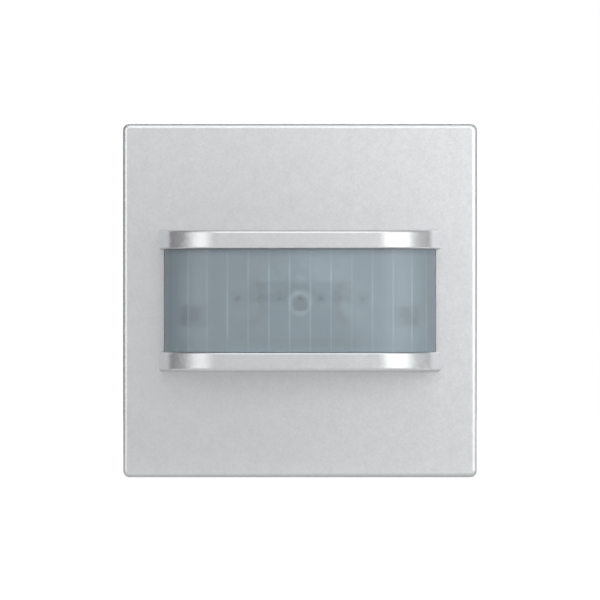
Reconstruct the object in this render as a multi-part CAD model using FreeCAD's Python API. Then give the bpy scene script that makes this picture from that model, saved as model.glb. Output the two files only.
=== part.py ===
"""Flush-mounted motion detector: the plug-on sensor head with its square cover plate.

The head stands upright as on a wall. +X is to the right, +Z is up, and +Y points
into the wall. The origin is the centre of the cover plate's rear rim, the face that
rests on the mounting ring, so all that shows lies at negative Y. The neck behind the
rim enters the ring and carries the plug. All lengths are in millimetres.
"""
import math
import os

import FreeCAD
import Part
from FreeCAD import Vector

# Cover plate
PLATE_WIDTH = 63.0
PLATE_DEPTH = 9.0
PLATE_SKIN = 2.0
PLATE_CORNER_RADIUS = 1.2
PLATE_EDGE_RADIUS = 0.8
SKIRT_WALL = 1.6
SKIRT_INNER_RADIUS = 0.5
BOSS_RADIUS = 2.4
BOSS_RIB_THICKNESS = 1.0

# Hood: two bowed rails with the lens between them
HOOD_PROJECTION = 13.5
RAIL_HALF_FLAT = 14.2
RAIL_BEND_RADIUS = 9.7
RAIL_WALL_ANGLE = 77.0
RAIL_HEIGHT = 3.55
RAIL_OUTER_TAPER = 0.25
RAIL_WINDOW_TAPER = 0.1
RAIL_OUTER_EDGE_RADIUS = 0.45
RAIL_WINDOW_EDGE_RADIUS = 0.3
RAIL_SHELL = 0.9
RAIL_PEG_RADIUS = 1.1
RAIL_PEG_SPACING = 18.0
PEG_HEAD_RADIUS = 1.7
PEG_HEAD_THICKNESS = 0.8
PEG_CLEARANCE = 0.05

# Lens
WINDOW_HEIGHT = 18.2
LENS_RECESS = 1.2
LENS_HALF_FLAT = 14.1
LENS_BEND_RADIUS = 10.0
LENS_THICKNESS = 1.0
LENS_FLANGE_REACH = 1.3
LENS_FLANGE_THICKNESS = 1.0
LENS_CLEARANCE = 0.05
OPENING_CLEARANCE = 0.1
SEGMENT_PITCH = 3.67
SEGMENT_LINES_PER_SIDE = 8
SEGMENT_GROOVE_DEPTH = 0.25
SEGMENT_GROOVE_WIDTH = 0.36

# Frame that carries the lens from inside
FRAME_THICKNESS = 1.0
FRAME_MARGIN = 1.1
FRAME_RIB = 1.0
FRAME_CLEARANCE = 0.1
PEG_HEAD_CLEARANCE = 0.4
CHAMBER_CLEARANCE = 0.3

# Sensor carrier and the two heat sensors
CARRIER_NOSE_HALF_WIDTH = 2.8
CARRIER_HALF_WIDTH = 15.2
CARRIER_WALL = 1.2
CARRIER_CLEARANCE = 0.25
NOSE_WEB = 0.5
CARRIER_NOSE_SETBACK = 3.3
CARRIER_FOOT_REACH = 2.2
CARRIER_FOOT_HALF_HEIGHT = 2.4
CARRIER_FOOT_THICKNESS = 1.2
CARRIER_PEG_RADIUS = 0.8
SENSOR_ANGLE = 35.0
CAN_RADIUS = 4.1
CAN_FLANGE_RADIUS = 4.6
CAN_FLANGE_THICKNESS = 0.5
CAN_LENGTH = 3.6
CAN_WALL = 0.3
CAN_BORE_CLEARANCE = 0.06
WINDOW_OPENING_WIDTH = 4.0
WINDOW_OPENING_HEIGHT = 3.0
FILTER_THICKNESS = 0.5
FILTER_LAP = 0.5
HEADER_THICKNESS = 0.9
SENSOR_PIN_CIRCLE_RADIUS = 2.54
SENSOR_PIN_RADIUS = 0.23
SENSOR_PIN_STRAIGHT = 1.2
SENSOR_PIN_BEND = 1.0
LIGHT_TUBE_Z = -0.5
LIGHT_TUBE_RADIUS = 2.3
LIGHT_TUBE_BORE = 1.45
LIGHT_TUBE_STAND_PROUD = 0.9
LIGHT_SENSOR_WIDTH = 1.6
LIGHT_SENSOR_HEIGHT = 1.2
LIGHT_SENSOR_THICKNESS = 0.7
LED_RADIUS = 1.5
LED_RIM_RADIUS = 1.8
LED_RIM_THICKNESS = 0.6
LED_RIM_CLEARANCE = 0.1
LED_BODY_LENGTH = 3.6
LED_LEAD_SPACING = 1.27
LED_LEAD_RADIUS = 0.2

# Circuit boards and what they carry
BOARD_THICKNESS = 1.2
BOARD_LATCH_MARGIN = 1.0
SENSOR_BOARD_HEIGHT = 36.0
BOARD_CORNER_RADIUS = 1.5
HOLE_CLEARANCE = 0.07
LEAD_TAIL = 0.8
AMPLIFIER_WIDTH = 4.3
AMPLIFIER_HEIGHT = 3.4
AMPLIFIER_THICKNESS = 1.5
AMPLIFIER_GAP = 0.25
AMPLIFIER_Z = -2.6
CHIP_STANDOFF = 0.1
CHIP_LEG_REACH = 0.9
CHIP_LEG_WIDTH = 0.4
CHIP_LEG_THICKNESS = 0.2
CONTROLLER_SIZE = 7.0
CONTROLLER_THICKNESS = 1.4
CONTROLLER_X = -9.0
CONTROLLER_Z = 8.5
CRYSTAL_LENGTH = 8.0
CRYSTAL_WIDTH = 3.2
CRYSTAL_HEIGHT = 2.6
CRYSTAL_END_RADIUS = 1.45
CRYSTAL_Z = -3.5
PASSIVE_LENGTH = 2.0
PASSIVE_WIDTH = 1.25
PASSIVE_HEIGHT = 0.6
PASSIVE_PITCH = 3.4
PASSIVE_COLUMNS = 4
PASSIVE_ROWS = 3
CONTROL_BOARD_CLEARANCE = 1.4
BOARD_GAP = 7.8
LINK_PITCH = 2.54
LINK_COLUMNS = 6
LINK_ROW_HEIGHT = 2.5
LINK_PIN_WIDTH = 0.64
LINK_EDGE_MARGIN = 2.05
CAPACITOR_RADIUS = 2.5
CAPACITOR_HEIGHT = 5.4
CAPACITOR_SPACING = 20.0
CAPACITOR_Z = 9.0
CAPACITOR_NECK_DEPTH = 0.25
CAPACITOR_NECK_HEIGHT = 1.1

# Adjusters reached from behind
TRIMMER_WIDTH = 7.0
TRIMMER_HEIGHT = 3.4
TRIMMER_SIDE_MARGIN = 4.8
TRIMMER_LINK_GAP = 0.25
DIAL_RADIUS = 2.5
DIAL_STEM_RADIUS = 1.2
DIAL_STEM_LENGTH = 2.6
DIAL_RUNNING_CLEARANCE = 0.05
DIAL_SEAT_GAP = 0.1
DIAL_EDGE_CHAMFER = 0.2
DIAL_SETBACK = 0.2
DIAL_SLOT_WIDTH = 0.7
DIAL_SLOT_LENGTH = 3.6
DIAL_SLOT_DEPTH = 1.0
DIAL_POINTER_LENGTH = 0.9
DIAL_POINTER_WIDTH = 0.35
DIAL_POINTER_DEPTH = 0.5
DIAL_HOLE_CLEARANCE = 0.2

# Plug
PLUG_PITCH = 2.54
PLUG_COLUMNS = 5
PLUG_PIN_WIDTH = 0.64
PLUG_PIN_REACH = 6.0
PLUG_PIN_CHAMFER = 0.2
PLUG_WALL = 1.2
PLUG_STAND_PROUD = 1.6
PLUG_EDGE_CHAMFER = 0.3
PLUG_Z = 9.5
PLUG_WINDOW_CLEARANCE = 0.2

# Rear housing
FLANGE_THICKNESS = 2.0
FLANGE_CORNER_RADIUS = 2.0
NECK_DEPTH = 12.0
NECK_WALL = 1.6
NECK_CORNER_RADIUS = 3.0
NECK_EDGE_RADIUS = 0.8
FLANGE_EDGE_RADIUS = 0.3
BOARD_POST_WIDTH = 3.0
CHIP_EDGE_CHAMFER = 0.15
KEY_RIB_HEIGHT = 0.7
KEY_RIB_LENGTH = 9.0
UPPER_KEY_WIDTH = 4.0
LOWER_KEY_WIDTH = 2.0
NAMEPLATE_WIDTH = 30.0
NAMEPLATE_HEIGHT = 4.6
NAMEPLATE_DEPTH = 0.3

# Screws that join the housing to the plate
SCREW_INSET = 5.9
SCREW_EDGE_MARGIN = 3.0
SCREW_NECK_GAP = 0.3
SCREW_SHANK_RADIUS = 1.05
SCREW_SHANK_LENGTH = 5.6
SCREW_HEAD_RADIUS = 1.9
SCREW_HEAD_HEIGHT = 1.2
SCREW_HEAD_EDGE_RADIUS = 0.6
SCREW_HOLE_CLEARANCE = 0.15
SCREW_PILOT_CLEARANCE = 0.03
SCREW_RECESS_WIDTH = 0.6
SCREW_RECESS_LENGTH = 2.2
SCREW_RECESS_DEPTH = 0.7
PILOT_SPARE_DEPTH = 0.3

# Spring latches that hold the head in the mounting ring
LATCH_STRIP = 0.5
LATCH_WIDTH = 5.0
LATCH_SPACING = 22.0
LATCH_EYE_RADIUS = 0.6
LATCH_EYE_CLEARANCE = 0.05
LATCH_SIDE_CLEARANCE = 0.15
LATCH_SWING_ROOM = 0.3
LATCH_REST_ROOM = 0.1
LATCH_STANDOFF = 1.15
LATCH_NOSE_REACH = 1.2
RING_THICKNESS = 1.4
LATCH_NOSE_LENGTH = 1.5
LATCH_LEAD_LENGTH = 4.5
LATCH_LEAD_DROP = 1.4
LATCH_WINDOW_MARGIN = 0.6

# Planes across the stack, from the front to the back
FACE_Y = -PLATE_DEPTH
HOOD_Y = FACE_Y - HOOD_PROJECTION
SKIN_Y = FACE_Y + PLATE_SKIN
FRAME_Y = SKIN_Y + LENS_FLANGE_THICKNESS
SENSOR_BOARD_Y = FRAME_Y + FRAME_THICKNESS
FLANGE_Y = SENSOR_BOARD_Y + BOARD_THICKNESS
FLANGE_REAR_Y = FLANGE_Y + FLANGE_THICKNESS
CONTROL_BOARD_Y = FLANGE_Y + BOARD_GAP
CONTROL_REAR_Y = CONTROL_BOARD_Y + BOARD_THICKNESS
REAR_Y = NECK_DEPTH
REAR_WALL_Y = REAR_Y - NECK_WALL

# Places worked out from the sizes above
LENS_Y = HOOD_Y + LENS_RECESS
LENS_INNER_Y = LENS_Y + LENS_THICKNESS
LENS_HALF_WIDTH = LENS_HALF_FLAT + LENS_BEND_RADIUS
RAIL_INNER_Z = WINDOW_HEIGHT / 2
RAIL_MIDDLE_Z = RAIL_INNER_Z + RAIL_HEIGHT / 2
RAIL_FACE_HEIGHT = RAIL_HEIGHT - RAIL_OUTER_TAPER - RAIL_WINDOW_TAPER
RAIL_CORE_HEIGHT = RAIL_FACE_HEIGHT - 2 * RAIL_SHELL
RAIL_CORE_Z = RAIL_INNER_Z + RAIL_WINDOW_TAPER + RAIL_SHELL
LED_Z = LIGHT_TUBE_Z + LIGHT_TUBE_RADIUS + LED_RADIUS + NOSE_WEB
CARRIER_HALF_HEIGHT = LED_Z + LED_RIM_RADIUS + LED_RIM_CLEARANCE + CARRIER_WALL
SHELF_OUTER_Z = RAIL_INNER_Z - LENS_CLEARANCE
SHELF_INNER_Z = CARRIER_HALF_HEIGHT + CARRIER_CLEARANCE
NOSE_Y = LENS_INNER_Y + CARRIER_NOSE_SETBACK
FRAME_HALF_HEIGHT = RAIL_MIDDLE_Z + PEG_HEAD_RADIUS + PEG_HEAD_CLEARANCE + FRAME_RIB
CARRIER_FOOT_X = CARRIER_HALF_WIDTH + CARRIER_FOOT_REACH
AMPLIFIER_X = CARRIER_FOOT_X + AMPLIFIER_GAP + AMPLIFIER_WIDTH / 2
CHAMBER_HALF_WIDTH = AMPLIFIER_X + AMPLIFIER_WIDTH / 2 + CHAMBER_CLEARANCE
PLATE_HALF = PLATE_WIDTH / 2
SCREW_HALF_SPACING = PLATE_HALF - SKIRT_WALL - SCREW_INSET
NECK_HALF = SCREW_HALF_SPACING - SCREW_HEAD_RADIUS - SCREW_NECK_GAP
NECK_WIDTH = 2 * NECK_HALF
NECK_INNER_HALF = NECK_HALF - NECK_WALL
CONTROL_BOARD_HALF = NECK_INNER_HALF - CONTROL_BOARD_CLEARANCE
CONTROL_BOARD_WIDTH = 2 * CONTROL_BOARD_HALF
LINK_Z = -CONTROL_BOARD_HALF + LINK_EDGE_MARGIN + LINK_ROW_HEIGHT / 2
TRIMMER_Z = LINK_Z + LINK_ROW_HEIGHT / 2 + TRIMMER_LINK_GAP + TRIMMER_WIDTH / 2
TRIMMER_SPACING = CONTROL_BOARD_HALF - TRIMMER_SIDE_MARGIN - TRIMMER_WIDTH / 2
FLANGE_WIDTH = 2 * (SCREW_HALF_SPACING + SCREW_EDGE_MARGIN)
LATCH_X = NECK_HALF + LATCH_STANDOFF
SENSOR_BOARD_WIDTH = 2 * (LATCH_X + LATCH_EYE_RADIUS + BOARD_LATCH_MARGIN)

OUT = "parts"
SIDES = {"left": -1, "right": 1}
LEVELS = {"upper": 1, "lower": -1}


def box(x_low, x_high, y_low, y_high, z_low, z_high):
    """Upright box between the given planes."""
    return Part.makeBox(
        x_high - x_low, y_high - y_low, z_high - z_low, Vector(x_low, y_low, z_low)
    )


def centred_box(x, z, width, height, y_low, y_high):
    """Box centred on the line through x and z, running from y_low to y_high."""
    return box(x - width / 2, x + width / 2, y_low, y_high, z - height / 2, z + height / 2)


def rod(radius, x, z, y_low, y_high):
    """Round bar along Y."""
    return Part.makeCylinder(radius, y_high - y_low, Vector(x, y_low, z), Vector(0, 1, 0))


def rounded_block(width, height, y_low, y_high, corner):
    """Block centred on the Y axis whose four long edges are rounded."""
    block = centred_box(0, 0, width, height, y_low, y_high)
    along = [e for e in block.Edges if abs(e.tangentAt(e.FirstParameter).y) > 0.99]
    return block.makeFillet(corner, along)


def prism(points, z_low, z_high):
    """Solid with the given outline in plan, between two heights."""
    corners = [Vector(x, y, z_low) for x, y in points]
    face = Part.Face(Part.makePolygon(corners + corners[:1]))
    return face.extrude(Vector(0, 0, z_high - z_low))


def mirrored(shape):
    """The shape's left-hand twin."""
    return shape.mirror(Vector(0, 0, 0), Vector(1, 0, 0))


def united(shapes):
    """All the shapes fused to one, with flush faces merged."""
    return shapes[0].multiFuse(shapes[1:]).removeSplitter() if len(shapes) > 1 else shapes[0]


def bowed_face(right_side):
    """Face in plan, symmetric about X = 0, closed by straight runs in front and behind.

    right_side lists points from the front to the back. An entry of two points is an
    arc that passes through the first and ends at the second.
    """
    edges = []
    for side in SIDES.values():
        here = Vector(side * right_side[0][0], right_side[0][1], 0)
        for step in right_side[1:]:
            if isinstance(step[0], tuple):
                middle, there = (Vector(side * x, y, 0) for x, y in step)
                edges.append(Part.Arc(here, middle, there).toShape())
            else:
                there = Vector(side * step[0], step[1], 0)
                edges.append(Part.makeLine(here, there))
            here = there
    for x, y in (right_side[0], right_side[-1]):
        edges.append(Part.makeLine(Vector(-x, y, 0), Vector(x, y, 0)))
    return Part.Face(Part.Wire(Part.__sortEdges__(edges)))


def bend(half_flat, radius, front_y, degrees):
    """Start, middle and end of the corner arc of a bowed outline."""
    centre_y = front_y + radius
    angles = (0, math.radians(degrees) / 2, math.radians(degrees))
    return [(half_flat + radius * math.sin(a), centre_y - radius * math.cos(a)) for a in angles]


def bowed_block(half_flat, radius, front_y, back_y, z_low, z_high):
    """Bowed block whose sides run straight back from a quarter-round corner."""
    start, middle, end = bend(half_flat, radius, front_y, 90)
    face = bowed_face([start, (middle, end), (end[0], back_y)])
    face.translate(Vector(0, 0, z_low))
    return face.extrude(Vector(0, 0, z_high - z_low))


def rail_outline(inset):
    """Right half of a rail's outline in plan, inset from its outer face."""
    angle = math.radians(RAIL_WALL_ANGLE)
    start, middle, end = bend(
        RAIL_HALF_FLAT, RAIL_BEND_RADIUS - inset, HOOD_Y + inset, RAIL_WALL_ANGLE
    )
    foot_x = end[0] + (FACE_Y - end[1]) / math.tan(angle)
    return [start, (middle, end), (foot_x, FACE_Y)]


def taper_wedge(z_low, z_high, low_taper, high_taper):
    """Wedge whose two faces draw in by their tapers from the plate to the hood's front."""
    reach = PLATE_HALF
    points = [
        Vector(-reach, FACE_Y, z_low),
        Vector(-reach, FACE_Y, z_high),
        Vector(-reach, HOOD_Y, z_high - high_taper),
        Vector(-reach, HOOD_Y, z_low + low_taper),
    ]
    return Part.Face(Part.makePolygon(points + points[:1])).extrude(Vector(2 * reach, 0, 0))


def bow_edges(shape, side):
    """Edges along the bowed front and sides, on the upper rail's top or window side."""
    chosen = []
    for edge in shape.Edges:
        first, last = (edge.valueAt(p) for p in edge.ParameterRange)
        level = abs((last - first).z) < RAIL_FACE_HEIGHT / 2
        off_plate = min(first.y, last.y) < FACE_Y - RAIL_OUTER_EDGE_RADIUS
        if level and off_plate and side * (first.z - RAIL_MIDDLE_Z) > 0:
            chosen.append(edge)
    return chosen


def make_upper_rail():
    """D-shaped rail: a hollow shell, open to the plate, on three staked pegs."""
    face = bowed_face(rail_outline(0))
    face.translate(Vector(0, 0, RAIL_INNER_Z))
    outer = face.extrude(Vector(0, 0, RAIL_HEIGHT))
    outer = outer.common(taper_wedge(
        RAIL_INNER_Z, RAIL_INNER_Z + RAIL_HEIGHT, RAIL_WINDOW_TAPER, RAIL_OUTER_TAPER
    ))
    outer = outer.makeFillet(RAIL_OUTER_EDGE_RADIUS, bow_edges(outer, 1))
    outer = outer.makeFillet(RAIL_WINDOW_EDGE_RADIUS, bow_edges(outer, -1))
    core = bowed_face(rail_outline(RAIL_SHELL))
    core.translate(Vector(0, 0, RAIL_CORE_Z))
    shell = outer.cut(core.extrude(Vector(0, 0, RAIL_CORE_HEIGHT)))
    pegs = []
    for x in (-RAIL_PEG_SPACING, 0, RAIL_PEG_SPACING):
        post = rod(RAIL_PEG_RADIUS, x, RAIL_MIDDLE_Z, HOOD_Y, FACE_Y).common(outer)
        shank = rod(RAIL_PEG_RADIUS, x, RAIL_MIDDLE_Z, FACE_Y, SKIN_Y)
        head = rod(PEG_HEAD_RADIUS, x, RAIL_MIDDLE_Z, SKIN_Y, SKIN_Y + PEG_HEAD_THICKNESS)
        pegs += [post, shank, head]
    return united([shell] + pegs)


def make_lower_rail():
    """The upper rail, turned over."""
    return make_upper_rail().mirror(Vector(0, 0, 0), Vector(0, 0, 1))


def screw_centres():
    """The four corners where screws join the housing to the plate."""
    return [
        (side * SCREW_HALF_SPACING, level * SCREW_HALF_SPACING)
        for side in SIDES.values()
        for level in LEVELS.values()
    ]


def level_edges(shape, y):
    """Edges that lie in the plane at y."""
    return [
        e for e in shape.Edges
        if abs(e.BoundBox.YMin - y) < 1e-6 and abs(e.BoundBox.YMax - y) < 1e-6
    ]


def make_cover_plate():
    """Square tray with a rounded front edge, a lens opening and four screw bosses."""
    tray = rounded_block(PLATE_WIDTH, PLATE_WIDTH, FACE_Y, 0, PLATE_CORNER_RADIUS)
    tray = tray.makeFillet(PLATE_EDGE_RADIUS, level_edges(tray, FACE_Y))
    hollow = PLATE_WIDTH - 2 * SKIRT_WALL
    tray = tray.cut(rounded_block(hollow, hollow, SKIN_Y, 1, SKIRT_INNER_RADIUS))
    opening_width = 2 * (LENS_HALF_WIDTH + OPENING_CLEARANCE)
    opening_height = WINDOW_HEIGHT + 2 * OPENING_CLEARANCE
    tray = tray.cut(centred_box(0, 0, opening_width, opening_height, FACE_Y - 1, SKIN_Y + 1))
    for level in LEVELS.values():
        for x in (-RAIL_PEG_SPACING, 0, RAIL_PEG_SPACING):
            hole_radius = RAIL_PEG_RADIUS + PEG_CLEARANCE
            tray = tray.cut(rod(hole_radius, x, level * RAIL_MIDDLE_Z, FACE_Y - 1, SKIN_Y + 1))
    solids = [tray]
    for x, z in screw_centres():
        outer_x = math.copysign(PLATE_HALF - SKIRT_WALL, x)
        solids.append(rod(BOSS_RADIUS, x, z, SKIN_Y, FLANGE_Y))
        solids.append(box(
            min(x, outer_x), max(x, outer_x), SKIN_Y, FLANGE_Y,
            z - BOSS_RIB_THICKNESS / 2, z + BOSS_RIB_THICKNESS / 2,
        ))
    plate = united(solids)
    pilot_end = FLANGE_REAR_Y - SCREW_SHANK_LENGTH - PILOT_SPARE_DEPTH
    for x, z in screw_centres():
        pilot_radius = SCREW_SHANK_RADIUS + SCREW_PILOT_CLEARANCE
        plate = plate.cut(rod(pilot_radius, x, z, pilot_end, FLANGE_Y))
    return plate


def lens_point(length, depth):
    """Point of the lens at an arc length from its middle, depth behind its front, and
    the direction the lens faces there."""
    turned = max(0, length - LENS_HALF_FLAT) / LENS_BEND_RADIUS
    outward = (math.sin(turned), -math.cos(turned))
    radius = LENS_BEND_RADIUS - depth
    x = min(length, LENS_HALF_FLAT) + radius * outward[0]
    y = LENS_Y + LENS_BEND_RADIUS + radius * outward[1]
    return x, y, outward


def segment_groove(length):
    """Vee groove inside the lens, along one border between two lens segments."""
    x, y, outward = lens_point(length, LENS_THICKNESS)
    along = (-outward[1] * SEGMENT_GROOVE_WIDTH / 2, outward[0] * SEGMENT_GROOVE_WIDTH / 2)
    spill = (-outward[0] * SEGMENT_GROOVE_DEPTH, -outward[1] * SEGMENT_GROOVE_DEPTH)
    tip = (x - spill[0], y - spill[1])
    points = [
        tip,
        (x + along[0], y + along[1]),
        (x + along[0] + spill[0], y + along[1] + spill[1]),
        (x - along[0] + spill[0], y - along[1] + spill[1]),
        (x - along[0], y - along[1]),
    ]
    return prism(points, -WINDOW_HEIGHT, WINDOW_HEIGHT)


def make_fresnel_lens():
    """Thin bowed lens with a border groove between segments and a flange at each end."""
    reach = RAIL_INNER_Z + RAIL_WINDOW_TAPER
    outer = bowed_block(LENS_HALF_FLAT, LENS_BEND_RADIUS, LENS_Y, FRAME_Y, -reach, reach)
    inner = bowed_block(
        LENS_HALF_FLAT, LENS_BEND_RADIUS - LENS_THICKNESS, LENS_INNER_Y, FRAME_Y + 1,
        -reach, reach,
    )
    shell = outer.cut(inner)
    base_half = RAIL_INNER_Z - LENS_CLEARANCE
    growing = taper_wedge(-base_half, base_half, -RAIL_WINDOW_TAPER, -RAIL_WINDOW_TAPER)
    neck = box(-PLATE_HALF, PLATE_HALF, FACE_Y, FRAME_Y, -base_half, base_half)
    shell = shell.common(united([growing, neck]))
    flange_x = LENS_HALF_WIDTH + LENS_FLANGE_REACH
    flanges = []
    for side in SIDES.values():
        edges = sorted((side * (LENS_HALF_WIDTH - LENS_THICKNESS), side * flange_x))
        flanges.append(box(*edges, SKIN_Y, FRAME_Y, -base_half, base_half))
    lens = united([shell] + flanges)
    for line in range(SEGMENT_LINES_PER_SIDE):
        groove = segment_groove((line + 0.5) * SEGMENT_PITCH)
        lens = lens.cut(groove).cut(mirrored(groove))
    return lens


def make_lens_frame():
    """Flat frame with two bowed shelves that carry the lens's long edges."""
    half_width = LENS_HALF_WIDTH + LENS_FLANGE_REACH + FRAME_MARGIN
    solids = [box(
        -half_width, half_width, FRAME_Y, SENSOR_BOARD_Y, -FRAME_HALF_HEIGHT, FRAME_HALF_HEIGHT
    )]
    for level in LEVELS.values():
        low, high = sorted((level * SHELF_INNER_Z, level * SHELF_OUTER_Z))
        solids.append(bowed_block(
            LENS_HALF_FLAT,
            LENS_BEND_RADIUS - LENS_THICKNESS - FRAME_CLEARANCE,
            LENS_INNER_Y + FRAME_CLEARANCE,
            SENSOR_BOARD_Y,
            low,
            high,
        ))
        edge, inside = level * FRAME_HALF_HEIGHT, level * (FRAME_HALF_HEIGHT - FRAME_RIB)
        low, high = sorted((edge, inside))
        solids.append(box(-half_width, half_width, SKIN_Y, FRAME_Y, low, high))
    frame = united(solids)
    chamber = box(
        -CHAMBER_HALF_WIDTH, CHAMBER_HALF_WIDTH, FRAME_Y - 1, SENSOR_BOARD_Y + 1,
        -SHELF_INNER_Z, SHELF_INNER_Z,
    )
    return frame.cut(chamber)


def sensor_slope():
    """Middle of the carrier's right-hand slope, and the way the sensor there faces."""
    angle = math.radians(SENSOR_ANGLE)
    x = (CARRIER_NOSE_HALF_WIDTH + CARRIER_HALF_WIDTH) / 2
    y = NOSE_Y + (x - CARRIER_NOSE_HALF_WIDTH) * math.tan(angle)
    return Vector(x, y, 0), Vector(math.sin(angle), -math.cos(angle), 0)


def carrier_profile(inset):
    """Outline in plan of the carrier, or of its hollow at the given inset."""
    angle = math.radians(SENSOR_ANGLE)
    nose_x = CARRIER_NOSE_HALF_WIDTH - inset * math.tan(angle / 2)
    side_x = CARRIER_HALF_WIDTH - inset
    front_y = NOSE_Y + inset
    shoulder_y = front_y + (side_x - nose_x) * math.tan(angle)
    right = [(nose_x, front_y), (side_x, shoulder_y), (side_x, SENSOR_BOARD_Y)]
    return right + [(-x, y) for x, y in reversed(right)]


def sensor_rod(radius, ahead_low, ahead_high):
    """Round bar along the right-hand sensor's axis. Distances are ahead of the slope."""
    middle, facing = sensor_slope()
    return Part.makeCylinder(
        radius, ahead_high - ahead_low, middle + facing * ahead_low, facing
    )


def led_back_y():
    """Rear of the status light, whose rim seats behind the carrier's nose wall."""
    return NOSE_Y + CARRIER_WALL + LED_RIM_THICKNESS


def make_sensor_carrier():
    """Roof-shaped bracket with a bore in each slope and two in its nose."""
    half = CARRIER_HALF_HEIGHT
    shell = prism(carrier_profile(0), -half, half)
    hollow = prism(carrier_profile(CARRIER_WALL), -half + CARRIER_WALL, half - CARRIER_WALL)
    solids = [shell.cut(hollow)]
    for side in SIDES.values():
        inner, outer = side * (CARRIER_HALF_WIDTH - CARRIER_WALL / 2), side * CARRIER_FOOT_X
        solids.append(box(
            min(inner, outer), max(inner, outer),
            SENSOR_BOARD_Y - CARRIER_FOOT_THICKNESS, SENSOR_BOARD_Y,
            -CARRIER_FOOT_HALF_HEIGHT, CARRIER_FOOT_HALF_HEIGHT,
        ))
        solids.append(rod(CARRIER_PEG_RADIUS, side * carrier_peg_x(), 0, SENSOR_BOARD_Y, FLANGE_Y))
    carrier = united(solids)
    bore = sensor_rod(CAN_RADIUS + CAN_BORE_CLEARANCE, -CARRIER_WALL - 1, CAN_LENGTH)
    carrier = carrier.cut(bore).cut(mirrored(bore))
    tube_bore = rod(
        LIGHT_TUBE_RADIUS + CAN_BORE_CLEARANCE, 0, LIGHT_TUBE_Z, NOSE_Y - 1, SENSOR_BOARD_Y
    )
    led_bore = rod(LED_RADIUS + CAN_BORE_CLEARANCE, 0, LED_Z, NOSE_Y - 1, led_back_y())
    return carrier.cut(tube_bore).cut(led_bore)


def carrier_peg_x():
    """Distance of each locating peg from the middle."""
    return CARRIER_HALF_WIDTH + CARRIER_FOOT_REACH / 2


def make_pyro_can():
    """Right-hand sensor's metal cap: a cup with a rim and a window for the filter."""
    back = -CARRIER_WALL
    front = back + CAN_LENGTH
    cup = sensor_rod(CAN_RADIUS, back, front)
    rim = sensor_rod(CAN_FLANGE_RADIUS, back - CAN_FLANGE_THICKNESS, back)
    hollow = sensor_rod(CAN_RADIUS - CAN_WALL, back - CAN_FLANGE_THICKNESS, front - CAN_WALL)
    return united([cup, rim]).cut(hollow).cut(window_block(0, front - 2 * CAN_WALL, front + 1))


def window_block(lap, ahead_low, ahead_high):
    """Block of the sensor window's outline, larger by lap all round, along the axis."""
    middle, _ = sensor_slope()
    width, height = WINDOW_OPENING_WIDTH + 2 * lap, WINDOW_OPENING_HEIGHT + 2 * lap
    block = Part.makeBox(
        width, ahead_high - ahead_low, height,
        Vector(-width / 2, -ahead_high, -height / 2),
    )
    block.rotate(Vector(0, 0, 0), Vector(0, 0, 1), SENSOR_ANGLE)
    block.translate(middle)
    return block


def make_pyro_filter():
    """Right-hand sensor's infrared filter, seated behind the can's window."""
    front = CAN_LENGTH - CARRIER_WALL - CAN_WALL
    return window_block(FILTER_LAP, front - FILTER_THICKNESS, front)


def bent_lead(start, radius):
    """Lead that leaves a tilted header straight back, then bends towards the board."""
    angle = math.radians(SENSOR_ANGLE)
    backward = Vector(-math.sin(angle), math.cos(angle), 0)
    bend_start = start + backward * SENSOR_PIN_STRAIGHT
    centre = bend_start + Vector(math.cos(angle), math.sin(angle), 0) * SENSOR_PIN_BEND
    half_way = Vector(math.cos(angle / 2), math.sin(angle / 2), 0)
    bend_middle = centre - half_way * SENSOR_PIN_BEND
    bend_end = centre - Vector(SENSOR_PIN_BEND, 0, 0)
    end = Vector(bend_end.x, FLANGE_Y + LEAD_TAIL, bend_end.z)
    path = Part.Wire([
        Part.makeLine(start, bend_start),
        Part.Arc(bend_start, bend_middle, bend_end).toShape(),
        Part.makeLine(bend_end, end),
    ])
    ring = Part.Wire([Part.makeCircle(radius, start, backward)])
    return path.makePipeShell([ring], True, False)


def sensor_lead_starts():
    """Where the right-hand sensor's three leads leave the back of its header."""
    middle, facing = sensor_slope()
    back = middle - facing * (CARRIER_WALL + CAN_FLANGE_THICKNESS + HEADER_THICKNESS)
    sideways = Vector(-facing.y, facing.x, 0) * SENSOR_PIN_CIRCLE_RADIUS
    upward = Vector(0, 0, SENSOR_PIN_CIRCLE_RADIUS)
    return [back - sideways, back + upward, back + sideways]


def make_pyro_header():
    """Right-hand sensor's base plug with its three leads."""
    back = -CARRIER_WALL - CAN_FLANGE_THICKNESS
    plug = sensor_rod(CAN_RADIUS - CAN_WALL - LENS_CLEARANCE, back, back + HEADER_THICKNESS)
    base = sensor_rod(CAN_FLANGE_RADIUS, back - HEADER_THICKNESS, back)
    leads = [bent_lead(start, SENSOR_PIN_RADIUS) for start in sensor_lead_starts()]
    return united([plug, base] + leads)


def make_light_tube():
    """Tube in the carrier's nose that leads daylight to the light sensor."""
    front = NOSE_Y - LIGHT_TUBE_STAND_PROUD
    tube = rod(LIGHT_TUBE_RADIUS, 0, LIGHT_TUBE_Z, front, SENSOR_BOARD_Y)
    return tube.cut(rod(LIGHT_TUBE_BORE, 0, LIGHT_TUBE_Z, front, SENSOR_BOARD_Y))


def make_light_sensor():
    """Light sensor on the board, inside the foot of the light tube."""
    return centred_box(
        0, LIGHT_TUBE_Z, LIGHT_SENSOR_WIDTH, LIGHT_SENSOR_HEIGHT,
        SENSOR_BOARD_Y - LIGHT_SENSOR_THICKNESS, SENSOR_BOARD_Y,
    )


def led_lead_places():
    """Places of the status light's two leads on the sensor board."""
    return [(side * LED_LEAD_SPACING / 2, LED_Z) for side in SIDES.values()]


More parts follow.
